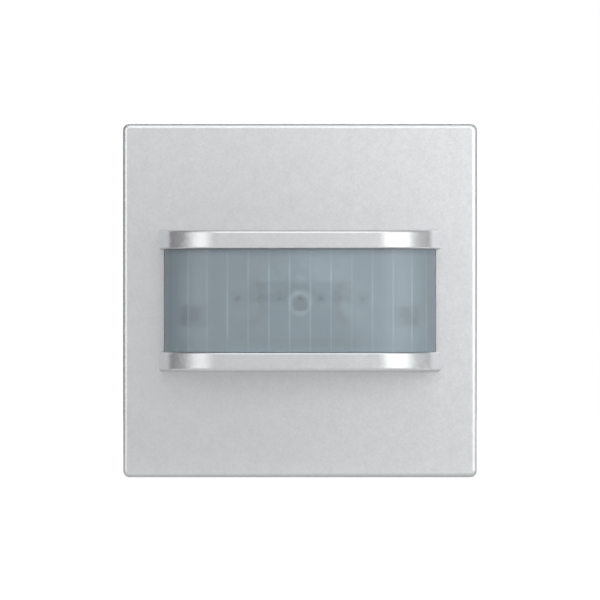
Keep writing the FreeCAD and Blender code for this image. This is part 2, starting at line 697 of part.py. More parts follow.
def make_status_led():
    """Domed light with a rim behind the carrier's nose."""
    back = led_back_y()
    dome_y = back - LED_BODY_LENGTH + LED_RADIUS
    body = rod(LED_RADIUS, 0, LED_Z, dome_y, back)
    dome = Part.makeSphere(LED_RADIUS, Vector(0, dome_y, LED_Z))
    rim = rod(LED_RIM_RADIUS, 0, LED_Z, back - LED_RIM_THICKNESS, back)
    rim = rim.cut(rod(
        LIGHT_TUBE_RADIUS + CAN_BORE_CLEARANCE, 0, LIGHT_TUBE_Z, NOSE_Y, SENSOR_BOARD_Y
    ))
    return united([body, dome, rim])


def make_status_led_leads():
    """The status light's two straight leads."""
    return Part.makeCompound([
        rod(LED_LEAD_RADIUS, x, z, led_back_y(), FLANGE_Y + LEAD_TAIL)
        for x, z in led_lead_places()
    ])


def link_places():
    """Places of the pins that join the two boards."""
    half = (LINK_COLUMNS - 1) * LINK_PITCH / 2
    return [(column * LINK_PITCH - half, LINK_Z) for column in range(LINK_COLUMNS)]


def plug_places():
    """Places of the plug's pins: two rows."""
    half = (PLUG_COLUMNS - 1) * PLUG_PITCH / 2
    return [
        (column * PLUG_PITCH - half, PLUG_Z + level * PLUG_PITCH / 2)
        for column in range(PLUG_COLUMNS)
        for level in LEVELS.values()
    ]


def make_sensor_board():
    """Front board, drilled for the sensors' leads, the pegs and the link to the other."""
    y_low, y_high = SENSOR_BOARD_Y, FLANGE_Y
    board = rounded_block(
        SENSOR_BOARD_WIDTH, SENSOR_BOARD_HEIGHT, y_low, y_high, BOARD_CORNER_RADIUS
    )
    holes = []
    for start in sensor_lead_starts():
        end_x = lead_end_x(start)
        for side in SIDES.values():
            holes.append((SENSOR_PIN_RADIUS, side * end_x, start.z))
    holes += [(LED_LEAD_RADIUS, x, z) for x, z in led_lead_places()]
    holes += [(CARRIER_PEG_RADIUS, side * carrier_peg_x(), 0) for side in SIDES.values()]
    holes += [(LINK_PIN_WIDTH / math.sqrt(2), x, z) for x, z in link_places()]
    drills = [rod(r + HOLE_CLEARANCE, x, z, y_low - 1, y_high + 1) for r, x, z in holes]
    return board.cut(Part.makeCompound(drills))


def lead_end_x(start):
    """Distance from the middle at which a sensor lead passes through the board."""
    angle = math.radians(SENSOR_ANGLE)
    return start.x - SENSOR_PIN_STRAIGHT * math.sin(angle) - SENSOR_PIN_BEND * (1 - math.cos(angle))


def legged_chip(width, height, thickness, legs_per_side, x, z, y_seat, away):
    """Chip with bent-down legs on its left and right sides.

    y_seat is the board's surface, and away is -1 for a chip in front of the board and
    1 for one behind it.
    """
    y_far = y_seat + away * thickness
    y_leg = y_seat + away * thickness / 2
    body = centred_box(x, z, width, height, *sorted((y_seat + away * CHIP_STANDOFF, y_far)))
    solids = [body.makeChamfer(CHIP_EDGE_CHAMFER, level_edges(body, y_far))]
    pitch = height / legs_per_side
    for side in SIDES.values():
        root = x + side * width / 2
        knee = root + side * CHIP_LEG_REACH / 2
        toe = root + side * CHIP_LEG_REACH
        for leg in range(legs_per_side):
            leg_z = z - height / 2 + (leg + 0.5) * pitch
            span = (leg_z - CHIP_LEG_WIDTH / 2, leg_z + CHIP_LEG_WIDTH / 2)
            thin = away * CHIP_LEG_THICKNESS
            solids.append(box(*sorted((root, knee)), *sorted((y_leg, y_leg + thin)), *span))
            inner = knee - side * CHIP_LEG_THICKNESS
            solids.append(box(*sorted((inner, knee)), *sorted((y_seat, y_leg + thin)), *span))
            solids.append(box(*sorted((inner, toe)), *sorted((y_seat, y_seat + thin)), *span))
    return united(solids)


def make_amplifier(side):
    """Signal amplifier in front of the sensor board, beside one sensor."""
    return legged_chip(
        AMPLIFIER_WIDTH - 2 * CHIP_LEG_REACH, AMPLIFIER_HEIGHT, AMPLIFIER_THICKNESS, 3,
        side * AMPLIFIER_X, AMPLIFIER_Z, SENSOR_BOARD_Y, -1,
    )


def make_controller_chip():
    """Microcontroller behind the sensor board."""
    return legged_chip(
        CONTROLLER_SIZE, CONTROLLER_SIZE, CONTROLLER_THICKNESS, 8,
        CONTROLLER_X, CONTROLLER_Z, FLANGE_Y, 1,
    )


def make_crystal():
    """Quartz can of the controller's clock, with rounded ends."""
    can = centred_box(
        CONTROLLER_X, CRYSTAL_Z, CRYSTAL_LENGTH, CRYSTAL_WIDTH,
        FLANGE_Y, FLANGE_Y + CRYSTAL_HEIGHT,
    )
    standing = [e for e in can.Edges if abs(e.tangentAt(e.FirstParameter).y) > 0.99]
    return can.makeFillet(CRYSTAL_END_RADIUS, standing)


def make_sensor_board_parts():
    """Rows of small resistors and capacitors behind the sensor board."""
    solids = []
    for column in range(PASSIVE_COLUMNS):
        for row in range(PASSIVE_ROWS):
            x = -CONTROLLER_X + (column - (PASSIVE_COLUMNS - 1) / 2) * PASSIVE_PITCH
            z = CONTROLLER_Z + (row - (PASSIVE_ROWS - 1) / 2) * PASSIVE_PITCH
            solids.append(centred_box(
                x, z, PASSIVE_LENGTH, PASSIVE_WIDTH, FLANGE_Y, FLANGE_Y + PASSIVE_HEIGHT
            ))
    return Part.makeCompound(solids)


def make_board_link():
    """Socket strip that fills the gap between the two boards."""
    width = LINK_COLUMNS * LINK_PITCH
    strip = centred_box(0, LINK_Z, width, LINK_ROW_HEIGHT, FLANGE_Y, CONTROL_BOARD_Y)
    for x, z in link_places():
        hole = LINK_PIN_WIDTH + 2 * HOLE_CLEARANCE
        strip = strip.cut(centred_box(x, z, hole, hole, FLANGE_Y, CONTROL_BOARD_Y))
    return strip


def make_board_link_pins():
    """Pins through the socket strip and both boards, trimmed flush in front."""
    y_low, y_high = SENSOR_BOARD_Y, CONTROL_REAR_Y + LEAD_TAIL
    return Part.makeCompound([
        centred_box(x, z, LINK_PIN_WIDTH, LINK_PIN_WIDTH, y_low, y_high)
        for x, z in link_places()
    ])


def make_control_board():
    """Rear board, drilled for the link and the plug, and notched at its four posts."""
    y_low, y_high = CONTROL_BOARD_Y, CONTROL_REAR_Y
    board = rounded_block(
        CONTROL_BOARD_WIDTH, CONTROL_BOARD_WIDTH, y_low, y_high, BOARD_CORNER_RADIUS
    )
    drills = [
        rod(width / math.sqrt(2) + HOLE_CLEARANCE, x, z, y_low - 1, y_high + 1)
        for places, width in ((link_places(), LINK_PIN_WIDTH), (plug_places(), PLUG_PIN_WIDTH))
        for x, z in places
    ]
    return board.cut(Part.makeCompound(drills))


def make_capacitors():
    """Two smoothing capacitors in front of the control board, each with a rolled neck."""
    solids = []
    for side in SIDES.values():
        x = side * CAPACITOR_SPACING / 2
        top = CONTROL_BOARD_Y - CAPACITOR_HEIGHT
        can = rod(CAPACITOR_RADIUS, x, CAPACITOR_Z, top, CONTROL_BOARD_Y)
        neck = Part.makeTorus(
            CAPACITOR_RADIUS + CAPACITOR_NECK_DEPTH, 2 * CAPACITOR_NECK_DEPTH,
            Vector(x, CONTROL_BOARD_Y - CAPACITOR_NECK_HEIGHT, CAPACITOR_Z), Vector(0, 1, 0),
        )
        solids.append(can.cut(neck))
    return Part.makeCompound(solids)


ADJUSTERS = {"time": -TRIMMER_SPACING, "lux": 0, "range": TRIMMER_SPACING}


def trimmer_rear_y():
    """Rear face of an adjuster's body."""
    return CONTROL_REAR_Y + TRIMMER_HEIGHT


def make_trimmer(x):
    """Adjuster's square body, with a bearing hole for its dial."""
    body = centred_box(
        x, TRIMMER_Z, TRIMMER_WIDTH, TRIMMER_WIDTH, CONTROL_REAR_Y, trimmer_rear_y()
    )
    bearing_y = trimmer_rear_y() - DIAL_STEM_LENGTH
    bearing_radius = DIAL_STEM_RADIUS + DIAL_RUNNING_CLEARANCE
    return body.cut(rod(bearing_radius, x, TRIMMER_Z, bearing_y, trimmer_rear_y()))


def make_dial(x):
    """Adjuster's dial: a slotted disc with a pointer notch, on a stem."""
    seat_y = trimmer_rear_y() + DIAL_SEAT_GAP
    end_y = REAR_Y - DIAL_SETBACK
    stem_y = trimmer_rear_y() - DIAL_STEM_LENGTH + DIAL_SEAT_GAP
    disc = rod(DIAL_RADIUS, x, TRIMMER_Z, seat_y, end_y)
    dial = united([
        disc.makeChamfer(DIAL_EDGE_CHAMFER, level_edges(disc, end_y)),
        rod(DIAL_STEM_RADIUS, x, TRIMMER_Z, stem_y, seat_y),
    ])
    slot_y = end_y - DIAL_SLOT_DEPTH
    slot = centred_box(x, TRIMMER_Z, DIAL_SLOT_WIDTH, DIAL_SLOT_LENGTH, slot_y, end_y)
    crossing = centred_box(x, TRIMMER_Z, DIAL_SLOT_LENGTH, DIAL_SLOT_WIDTH, slot_y, end_y)
    tip_z = TRIMMER_Z + DIAL_RADIUS
    pointer = box(
        x - DIAL_POINTER_WIDTH / 2, x + DIAL_POINTER_WIDTH / 2,
        end_y - DIAL_POINTER_DEPTH, end_y,
        tip_z - DIAL_POINTER_LENGTH, tip_z + 1,
    )
    return dial.cut(slot).cut(crossing).cut(pointer)


def plug_size():
    """Width and height of the plug's base."""
    return (
        (PLUG_COLUMNS - 1) * PLUG_PITCH + PLUG_PIN_WIDTH + 2 * PLUG_WALL,
        PLUG_PITCH + PLUG_PIN_WIDTH + 2 * PLUG_WALL,
    )


def plug_end_y():
    """Rear face of the plug's base, proud of the housing."""
    return REAR_Y + PLUG_STAND_PROUD


def make_plug_base():
    """Moulded base that the plug's pins pass through."""
    width, height = plug_size()
    base = centred_box(0, PLUG_Z, width, height, CONTROL_REAR_Y, plug_end_y())
    base = base.makeChamfer(PLUG_EDGE_CHAMFER, level_edges(base, plug_end_y()))
    for x, z in plug_places():
        hole = PLUG_PIN_WIDTH + 2 * HOLE_CLEARANCE
        base = base.cut(centred_box(x, z, hole, hole, CONTROL_REAR_Y, plug_end_y()))
    return base


def make_plug_pins():
    """Ten square contact pins with tapered ends."""
    y_low, y_high = CONTROL_BOARD_Y - LEAD_TAIL, plug_end_y() + PLUG_PIN_REACH
    pins = []
    for x, z in plug_places():
        pin = centred_box(x, z, PLUG_PIN_WIDTH, PLUG_PIN_WIDTH, y_low, y_high)
        pins.append(pin.makeChamfer(PLUG_PIN_CHAMFER, level_edges(pin, y_high)))
    return Part.makeCompound(pins)


def latch_centres():
    """Side, level and middle height of each latch."""
    return [
        (side, level, LEVELS[level] * LATCH_SPACING / 2) for side in SIDES for level in LEVELS
    ]


def latch_eye_y():
    """Axis of a latch's rolled root, inside the flange's thickness."""
    return FLANGE_Y + FLANGE_THICKNESS / 2


def latch_path():
    """Centre line of the right-hand latch in plan, from its root to its tip."""
    catch_y = RING_THICKNESS
    nose_y = catch_y + LATCH_NOSE_LENGTH
    return [
        (LATCH_X, latch_eye_y()),
        (LATCH_X, catch_y),
        (LATCH_X + LATCH_NOSE_REACH, nose_y),
        (LATCH_X + LATCH_NOSE_REACH - LATCH_LEAD_DROP, nose_y + LATCH_LEAD_LENGTH),
    ]


def strip_outline(path, thickness):
    """Outline in plan of a strip of even thickness along a path, mitred at its bends."""
    normals = []
    for (x0, y0), (x1, y1) in zip(path, path[1:]):
        length = math.hypot(x1 - x0, y1 - y0)
        normals.append(((y1 - y0) / length, -(x1 - x0) / length))
    sides = ([], [])
    for index, (x, y) in enumerate(path):
        before, after = normals[max(index - 1, 0)], normals[min(index, len(normals) - 1)]
        mean = (before[0] + after[0], before[1] + after[1])
        scale = thickness / (1 + before[0] * after[0] + before[1] * after[1]) / 2
        for side, way in zip(sides, (1, -1)):
            side.append((x + way * mean[0] * scale, y + way * mean[1] * scale))
    return sides[0] + sides[1][::-1]


def make_latch(side, z):
    """Spring strip with a rolled root in the flange and a nose that grips the ring."""
    z_low, z_high = z - LATCH_WIDTH / 2, z + LATCH_WIDTH / 2
    strip = prism(strip_outline(latch_path(), LATCH_STRIP), z_low, z_high)
    eye = Part.makeCylinder(LATCH_EYE_RADIUS, LATCH_WIDTH, Vector(LATCH_X, latch_eye_y(), z_low))
    latch = united([strip, eye])
    return latch if side == "right" else mirrored(latch)


def board_post_centres():
    """Corners where posts of the housing carry the control board."""
    inset = CONTROL_BOARD_HALF - BOARD_POST_WIDTH / 2
    return [
        (side * inset, level * inset) for side in SIDES.values() for level in LEVELS.values()
    ]


def make_rear_housing():
    """Square flange with a deep neck behind it that encloses the boards."""
    flange = rounded_block(
        FLANGE_WIDTH, FLANGE_WIDTH, FLANGE_Y, FLANGE_REAR_Y, FLANGE_CORNER_RADIUS
    )
    flange = flange.makeFillet(FLANGE_EDGE_RADIUS, level_edges(flange, FLANGE_REAR_Y))
    neck = rounded_block(NECK_WIDTH, NECK_WIDTH, FLANGE_REAR_Y, REAR_Y, NECK_CORNER_RADIUS)
    neck = neck.makeFillet(NECK_EDGE_RADIUS, level_edges(neck, REAR_Y))
    inner_width = 2 * NECK_INNER_HALF
    inner_corner = NECK_CORNER_RADIUS - NECK_WALL
    hollow = rounded_block(inner_width, inner_width, FLANGE_Y, REAR_WALL_Y, inner_corner)
    rib_half = NECK_HALF + KEY_RIB_HEIGHT
    key_ribs = [
        centred_box(
            0, level * rib_half / 2, width, rib_half, FLANGE_REAR_Y,
            FLANGE_REAR_Y + KEY_RIB_LENGTH,
        )
        for level, width in ((1, UPPER_KEY_WIDTH), (-1, LOWER_KEY_WIDTH))
    ]
    housing = united([flange, neck] + key_ribs).cut(hollow)
    posts = [
        centred_box(x, z, BOARD_POST_WIDTH, BOARD_POST_WIDTH, CONTROL_REAR_Y, REAR_WALL_Y)
        for x, z in board_post_centres()
    ]
    housing = united([housing] + posts)
    cuts = []
    for x in ADJUSTERS.values():
        hole_radius = DIAL_RADIUS + DIAL_HOLE_CLEARANCE
        cuts.append(rod(hole_radius, x, TRIMMER_Z, REAR_WALL_Y - 1, REAR_Y + 1))
    width, height = plug_size()
    clearance = 2 * PLUG_WINDOW_CLEARANCE
    cuts.append(centred_box(
        0, PLUG_Z, width + clearance, height + clearance, REAR_WALL_Y - 1, REAR_Y + 1
    ))
    cuts.append(centred_box(
        0, 0, NAMEPLATE_WIDTH, NAMEPLATE_HEIGHT, REAR_Y - NAMEPLATE_DEPTH, REAR_Y + 1
    ))
    for x, z in screw_centres():
        hole_radius = SCREW_SHANK_RADIUS + SCREW_HOLE_CLEARANCE
        cuts.append(rod(hole_radius, x, z, FLANGE_Y - 1, FLANGE_REAR_Y + 1))
    for side, _, z in latch_centres():
        width = LATCH_WIDTH + 2 * LATCH_SIDE_CLEARANCE
        eye_room = LATCH_EYE_RADIUS + LATCH_EYE_CLEARANCE
        pocket_end = latch_eye_y() + eye_room
        cuts.append(centred_box(
            SIDES[side] * LATCH_X, z, 2 * eye_room, width, FLANGE_Y - 1, pocket_end
        ))
        inner = SIDES[side] * (LATCH_X - LATCH_STRIP / 2 - LATCH_SWING_ROOM)
        outer = SIDES[side] * (LATCH_X + LATCH_STRIP / 2 + LATCH_REST_ROOM)
        cuts.append(box(
            *sorted((inner, outer)), pocket_end - 0.1, FLANGE_REAR_Y + 1,
            z - width / 2, z + width / 2,
        ))
        window_y = RING_THICKNESS + LATCH_WINDOW_MARGIN
        window_end = latch_path()[-1][1] + LATCH_WINDOW_MARGIN
        middle_x = SIDES[side] * (NECK_HALF - NECK_WALL / 2)
        cuts.append(centred_box(middle_x, z, NECK_WALL + 1, width, window_y, window_end))
    return housing.cut(Part.makeCompound(cuts))


def make_housing_screws():
    """Four pan-head screws with crossed recesses."""
    screws = []
    for x, z in screw_centres():
        shank = rod(SCREW_SHANK_RADIUS, x, z, FLANGE_REAR_Y - SCREW_SHANK_LENGTH, FLANGE_REAR_Y)
        end_y = FLANGE_REAR_Y + SCREW_HEAD_HEIGHT
        head = rod(SCREW_HEAD_RADIUS, x, z, FLANGE_REAR_Y, end_y)
        head = head.makeFillet(SCREW_HEAD_EDGE_RADIUS, level_edges(head, end_y))
        screw = united([shank, head])
        recess_y = end_y - SCREW_RECESS_DEPTH
        for width, height in (
            (SCREW_RECESS_WIDTH, SCREW_RECESS_LENGTH),
            (SCREW_RECESS_LENGTH, SCREW_RECESS_WIDTH),
        ):
            screw = screw.cut(centred_box(x, z, width, height, recess_y, end_y))
        screws.append(screw)
    return Part.makeCompound(screws)


def build():
    """Every sub-part by name."""
    parts = {
        "cover_plate": make_cover_plate(),
        "upper_rail": make_upper_rail(),
        "lower_rail": make_lower_rail(),
        "fresnel_lens": make_fresnel_lens(),
        "lens_frame": make_lens_frame(),
        "sensor_carrier": make_sensor_carrier(),
        "light_tube": make_light_tube(),
        "light_sensor": make_light_sensor(),
        "status_led": make_status_led(),
        "status_led_leads": make_status_led_leads(),
        "sensor_board": make_sensor_board(),
        "controller_chip": make_controller_chip(),
        "crystal": make_crystal(),
        "sensor_board_parts": make_sensor_board_parts(),
        "board_link": make_board_link(),
        "board_link_pins": make_board_link_pins(),
        "control_board": make_control_board(),
        "capacitors": make_capacitors(),
        "plug_base": make_plug_base(),
        "plug_pins": make_plug_pins(),
        "rear_housing": make_rear_housing(),
        "housing_screws": make_housing_screws(),
    }
    for name, make in (
        ("pyro_can", make_pyro_can),
        ("pyro_filter", make_pyro_filter),
        ("pyro_header", make_pyro_header),
    ):
        shape = make()
        parts["right_" + name] = shape
        parts["left_" + name] = mirrored(shape)
    for side, way in SIDES.items():
        parts[side + "_amplifier"] = make_amplifier(way)
    for name, x in ADJUSTERS.items():
        parts[name + "_trimmer"] = make_trimmer(x)
        parts[name + "_dial"] = make_dial(x)
    for side, level, z in latch_centres():
        parts[level + "_" + side + "_latch"] = make_latch(side, z)
    return parts


def main():
    """Write each sub-part to its own STEP file."""
    os.makedirs(OUT, exist_ok=True)
    for name, shape in build().items():
        solids = shape.Solids
        print(name, len(solids), "solids", round(shape.Volume, 2), "mm3", shape.isValid())
        if len(solids) == 1:
            shape = solids[0]
        shape.exportStep(os.path.join(OUT, name + ".step"))


main()
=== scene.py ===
"""Looks of the flush-mounted motion detector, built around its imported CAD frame.

The row frame is upright as on a wall: +X right, +Z up, +Y into the wall. The lens
faces -Y. Everything is in metres, apart from values whose names end in _mm.
"""
from __future__ import annotations

import logging
import math
from dataclasses import dataclass
from enum import Enum
from typing import Callable, Sequence

import bpy
from bpy.types import Material, Node, NodeSocket, NodeTree, Object
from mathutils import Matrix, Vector


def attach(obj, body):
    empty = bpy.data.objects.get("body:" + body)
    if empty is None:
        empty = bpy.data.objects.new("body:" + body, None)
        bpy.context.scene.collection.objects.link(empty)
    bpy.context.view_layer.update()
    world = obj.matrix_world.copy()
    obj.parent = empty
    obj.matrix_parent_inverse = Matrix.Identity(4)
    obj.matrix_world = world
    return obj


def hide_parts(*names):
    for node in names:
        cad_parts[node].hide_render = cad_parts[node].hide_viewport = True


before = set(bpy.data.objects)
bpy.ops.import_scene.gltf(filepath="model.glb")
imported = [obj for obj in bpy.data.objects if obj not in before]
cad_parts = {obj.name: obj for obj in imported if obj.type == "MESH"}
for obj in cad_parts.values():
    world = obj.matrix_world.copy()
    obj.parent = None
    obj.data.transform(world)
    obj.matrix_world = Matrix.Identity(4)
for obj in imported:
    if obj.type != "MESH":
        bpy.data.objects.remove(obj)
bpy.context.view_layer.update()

MM = 0.001
SNAP = 1e-6  # Places nearer than this, in metres, are one.
LEVEL_DIGITS = 7  # Decimals that tell one level of a sheet from the next.
HEAD = "head"
ALONG_SURFACE = "along_surface"
BORDER_SHOWN = "border_shown"
PICK_MODES = ("VERT", "EDGE", "FACE")
LOG = logging.getLogger("motion_detector")


def linear(code: str) -> tuple[float, float, float, float]:
    """Turn an sRGB hex code into a linear colour.

    Args:
        code: Six hex digits, such as "C8C9CA".

    Returns:
        Red, green, blue and an alpha of 1.
    """
    channels = [int(code[i:i + 2], 16) / 255 for i in (0, 2, 4)]
    turned = [c / 12.92 if c <= 0.04045 else ((c + 0.055) / 1.055) ** 2.4 for c in channels]
    return (*turned, 1.0)


def grain_scale(size_mm: float) -> float:
    """Give the texture scale at which one grain is this wide."""
    return 1 / (size_mm * MM)


def add_node(
    tree: NodeTree, kind: str, inputs: Sequence[object] | dict[str, object] = (),
    **settings: object,
) -> Node:
    """Add a node, set its properties, and fill or link its inputs.

    Args:
        tree: The node tree.
        kind: The node's type without its ShaderNode prefix.
        inputs: Values, sockets or nodes for the inputs in use, in order or by name. A
            node stands for its first output in use. None leaves an input as it is.
        **settings: Properties of the node.

    Returns:
        The new node.
    """
    node = tree.nodes.new("ShaderNode" + kind)
    for name, value in settings.items():
        setattr(node, name, value)
    used = [socket for socket in node.inputs if socket.enabled]
    if isinstance(inputs, dict):
        used = [next(s for s in used if s.name == name) for name in inputs]
        inputs = list(inputs.values())
    for socket, value in zip(used, inputs):
        if isinstance(value, Node):
            value = next(out for out in value.outputs if out.enabled)
        if isinstance(value, NodeSocket):
            tree.links.new(value, socket)
        elif value is not None:
            socket.default_value = value
    return node


def new_material(name: str) -> tuple[Material, NodeTree]:
    """Make an empty node material.

    Args:
        name: Its name.

    Returns:
        The material and its node tree.
    """
    material = bpy.data.materials.new(name)
    material.use_nodes = True
    material.node_tree.nodes.clear()
    return material, material.node_tree


@dataclass(frozen=True)
class SurfaceFinish:
    """What a surface is made of, and the material that shows it.

    Attributes:
        name: The material's name.
    """

    name: str

    def shader(self, tree: NodeTree, place: NodeSocket) -> Node:
        """Build what the light meets, which each finish does in its own way.

        Args:
            tree: The material's node tree.
            place: Object coordinates.

        Returns:
            The last shader node.
        """
        raise NotImplementedError

    def clouded(
        self, tree: NodeTree, place: NodeSocket, code: str, size_mm: float,
        tones: tuple[float, float], detail: float,
    ) -> Node:
        """Vary a colour softly, as melt flow, stains or age do.

        Args:
            tree: The node tree.
            place: Object coordinates.
            code: The colour.
            size_mm: Size of the clouds.
            tones: Their darkest and brightest tone.
            detail: How much finer detail they have.

        Returns:
            The varied colour.
        """
        clouds = add_node(
            tree, "TexNoise",
            {"Vector": place, "Scale": grain_scale(size_mm), "Detail": detail},
        )
        tone = add_node(
            tree, "MapRange", {"Value": clouds, "To Min": tones[0], "To Max": tones[1]}
        )
        return add_node(
            tree, "Mix", [1.0, linear(code), tone], data_type="RGBA", blend_type="MULTIPLY"
        )

    def worked(
        self, tree: NodeTree, pattern: Node, rough: tuple[float, float], relief: float,
        depth: float,
    ) -> dict[str, Node]:
        """Let a pattern shape a surface and change how rough it is.

        Args:
            tree: The node tree.
            pattern: The pattern, from 0 to 1.
            rough: Roughness at 0 and at 1.
            relief: Strength of the relief.
            depth: Its depth.

        Returns:
            The shader's Roughness and Normal.
        """
        return {
            "Roughness": add_node(
                tree, "MapRange", {"Value": pattern, "To Min": rough[0], "To Max": rough[1]}
            ),
            "Normal": add_node(
                tree, "Bump", {"Height": pattern, "Strength": relief, "Distance": depth}
            ),
        }

    def make(self) -> Material:
        """Build the whole material.

        Returns:
            The material.
        """
        material, tree = new_material(self.name)
        place = add_node(tree, "TexCoord").outputs["Object"]
        add_node(tree, "OutputMaterial", [self.shader(tree, place)])
        return material


@dataclass(frozen=True)
class SilverLacquer(SurfaceFinish):
    """Aluminium-flake lacquer sprayed on ABS: satin silver with a fine sparkle.

    The real flakes are about 0.03 mm. They are drawn 0.3 mm wide so that the
    sparkle shows at the render's size. They lie level on the front and the sides,
    which the spray gun met squarely, and at their own tilt on the bends between
    them, which speckles these. Inside the cover plate the bare grey ABS shows,
    with a little overspray along the rim.

    Attributes:
        colour: The brightest flakes.
        shade: The dullest flakes.
        bare: The ABS under the lacquer.
        metallic: How metallic the lacquer reads.
        roughness: The lacquer's roughness.
        bare_roughness: The ABS's roughness.
        flake_mm: Width of a flake.
        flake_weight: How much a flake's own tone counts beside the spray's drift.
        cloud_mm: Size of the spray's drift.
        tone_range: Sums of the two that give the dullest and the brightest tone.
        level_tilt: The flakes' tilt where they lie level.
        slant_tilt: Their tilt on the bends.
        bend_slope: Share of the normal that points front or back, amid a bend.
        bend_range: How far from that the bend's tilt holds and the level one starts.
        inner_half: Half the width of the plate's inside.
        inner_face_y: The inner side of the plate's face.
        mist_mm: Size of the overspray's specks.
        mist_wander: How unevenly deep the overspray reaches.
        mist_range: Depths where it has ended and where it has fully covered.
    """

    name: str = "silver_flake_lacquer"
    colour: str = "CCCECF"
    shade: str = "C6C8C9"
    bare: str = "8B8D90"
    metallic: float = 0.9
    roughness: float = 0.32
    bare_roughness: float = 0.5
    flake_mm: float = 0.3
    flake_weight: float = 0.6
    cloud_mm: float = 2.4
    tone_range: tuple[float, float] = (0.45, 1.15)
    level_tilt: float = 0.02
    slant_tilt: float = 0.14
    bend_slope: float = 0.58
    bend_range: tuple[float, float] = (0.12, 0.3)
    inner_half: float = 29.95 * MM
    inner_face_y: float = -7.05 * MM
    mist_mm: float = 0.8
    mist_wander: float = 2.4 * MM
    mist_range: tuple[float, float] = (0.4 * MM, -1.2 * MM)

    def bare_share(self, tree: NodeTree, place: NodeSocket) -> Node:
        """Find the bare inside of the cover plate, patchy at its rim.

        Args:
            tree: The node tree.
            place: Object coordinates.

        Returns:
            1 on bare ABS, 0 where the lacquer lies.
        """
        parts = add_node(tree, "SeparateXYZ", [place])
        depth = parts.outputs[1]
        sides = [
            add_node(tree, "Math", [parts.outputs[i]], operation="ABSOLUTE") for i in (0, 2)
        ]
        reach = add_node(tree, "Math", sides, operation="MAXIMUM")
        within = add_node(tree, "Math", [reach, self.inner_half], operation="LESS_THAN")
        behind = add_node(tree, "Math", [depth, self.inner_face_y], operation="GREATER_THAN")
        mist = add_node(
            tree, "TexNoise",
            {"Vector": place, "Scale": grain_scale(self.mist_mm), "Detail": 3.0},
        )
        settled = add_node(
            tree, "Math", [mist, self.mist_wander, depth], operation="MULTIPLY_ADD"
        )
        share = add_node(tree, "MapRange", [settled, *self.mist_range])
        for mask in (within, behind):
            share = add_node(tree, "Math", [share, mask], operation="MULTIPLY")
        return share

    def flake_tone(self, tree: NodeTree, place: NodeSocket, lot: NodeSocket) -> Node:
        """Mix each flake's own tone with the drift of the spray.

        Args:
            tree: The node tree.
            place: Object coordinates.
            lot: Each flake's random colour.

        Returns:
            0 on the dullest flakes, 1 on the brightest.
        """
        clouds = add_node(
            tree, "TexNoise",
            {"Vector": place, "Scale": grain_scale(self.cloud_mm), "Detail": 3.0},
        )
        own = add_node(tree, "SeparateColor", [lot])
        both = add_node(
            tree, "Math", [own, self.flake_weight, clouds], operation="MULTIPLY_ADD"
        )
        return add_node(tree, "MapRange", [both, *self.tone_range])

    def flake_normal(self, tree: NodeTree, lot: NodeSocket) -> Node:
        """Tilt the surface's normal by each flake, most on the bends.

        Args:
            tree: The node tree.
            lot: Each flake's random colour.

        Returns:
            The tilted normal.
        """
        normal = add_node(tree, "NewGeometry").outputs["Normal"]
        parts = add_node(tree, "SeparateXYZ", [normal])
        squarely = add_node(tree, "Math", [parts.outputs[1]], operation="ABSOLUTE")
        from_bend = add_node(tree, "Math", [squarely, self.bend_slope], operation="SUBTRACT")
        off_bend = add_node(tree, "Math", [from_bend], operation="ABSOLUTE")
        tilt = add_node(
            tree, "MapRange", [off_bend, *self.bend_range, self.slant_tilt, self.level_tilt]
        )
        centred = add_node(tree, "VectorMath", [lot, (0.5, 0.5, 0.5)], operation="SUBTRACT")
        lean = add_node(tree, "VectorMath", [centred, tilt], operation="SCALE")
        tilted = add_node(tree, "VectorMath", [normal, lean], operation="ADD")
        return add_node(tree, "VectorMath", [tilted], operation="NORMALIZE")

    def shader(self, tree: NodeTree, place: NodeSocket) -> Node:
        """Lay the flakes on the ABS.

        Args:
            tree: The node tree.
            place: Object coordinates.

        Returns:
            The shader node.
        """
        lot = add_node(
            tree, "TexVoronoi", {"Vector": place, "Scale": grain_scale(self.flake_mm)}
        ).outputs["Color"]
        flakes = add_node(
            tree, "Mix",
            [self.flake_tone(tree, place, lot), linear(self.shade), linear(self.colour)],
            data_type="RGBA",
        )
        bare = self.bare_share(tree, place)
        return add_node(
            tree, "BsdfPrincipled",
            {
                "Base Color": add_node(
                    tree, "Mix", [bare, flakes, linear(self.bare)], data_type="RGBA"
                ),
                "Metallic": add_node(
                    tree, "MapRange", {"Value": bare, "To Min": self.metallic, "To Max": 0.0}
                ),
                "Roughness": add_node(
                    tree, "MapRange",
                    {"Value": bare, "To Min": self.roughness, "To Max": self.bare_roughness},
                ),
                "Normal": self.flake_normal(tree, lot),
            },
        )


class LensZone(Enum):
    """The kinds of surface on the lens in slot order, and the light that each passes."""

    SKIN = ("skin", 0.53)
    BORDER = ("border", 0.5)
    GROOVED = ("grooved", 0.92)

    def __init__(self, label: str, passed: float) -> None:
        """Keep the zone's name and the share of light that it passes."""
        self.label = label
        self.passed = passed

    @property
    def slot(self) -> int:
        """Number of the zone's material slot on the lens."""
        return list(LensZone).index(self)


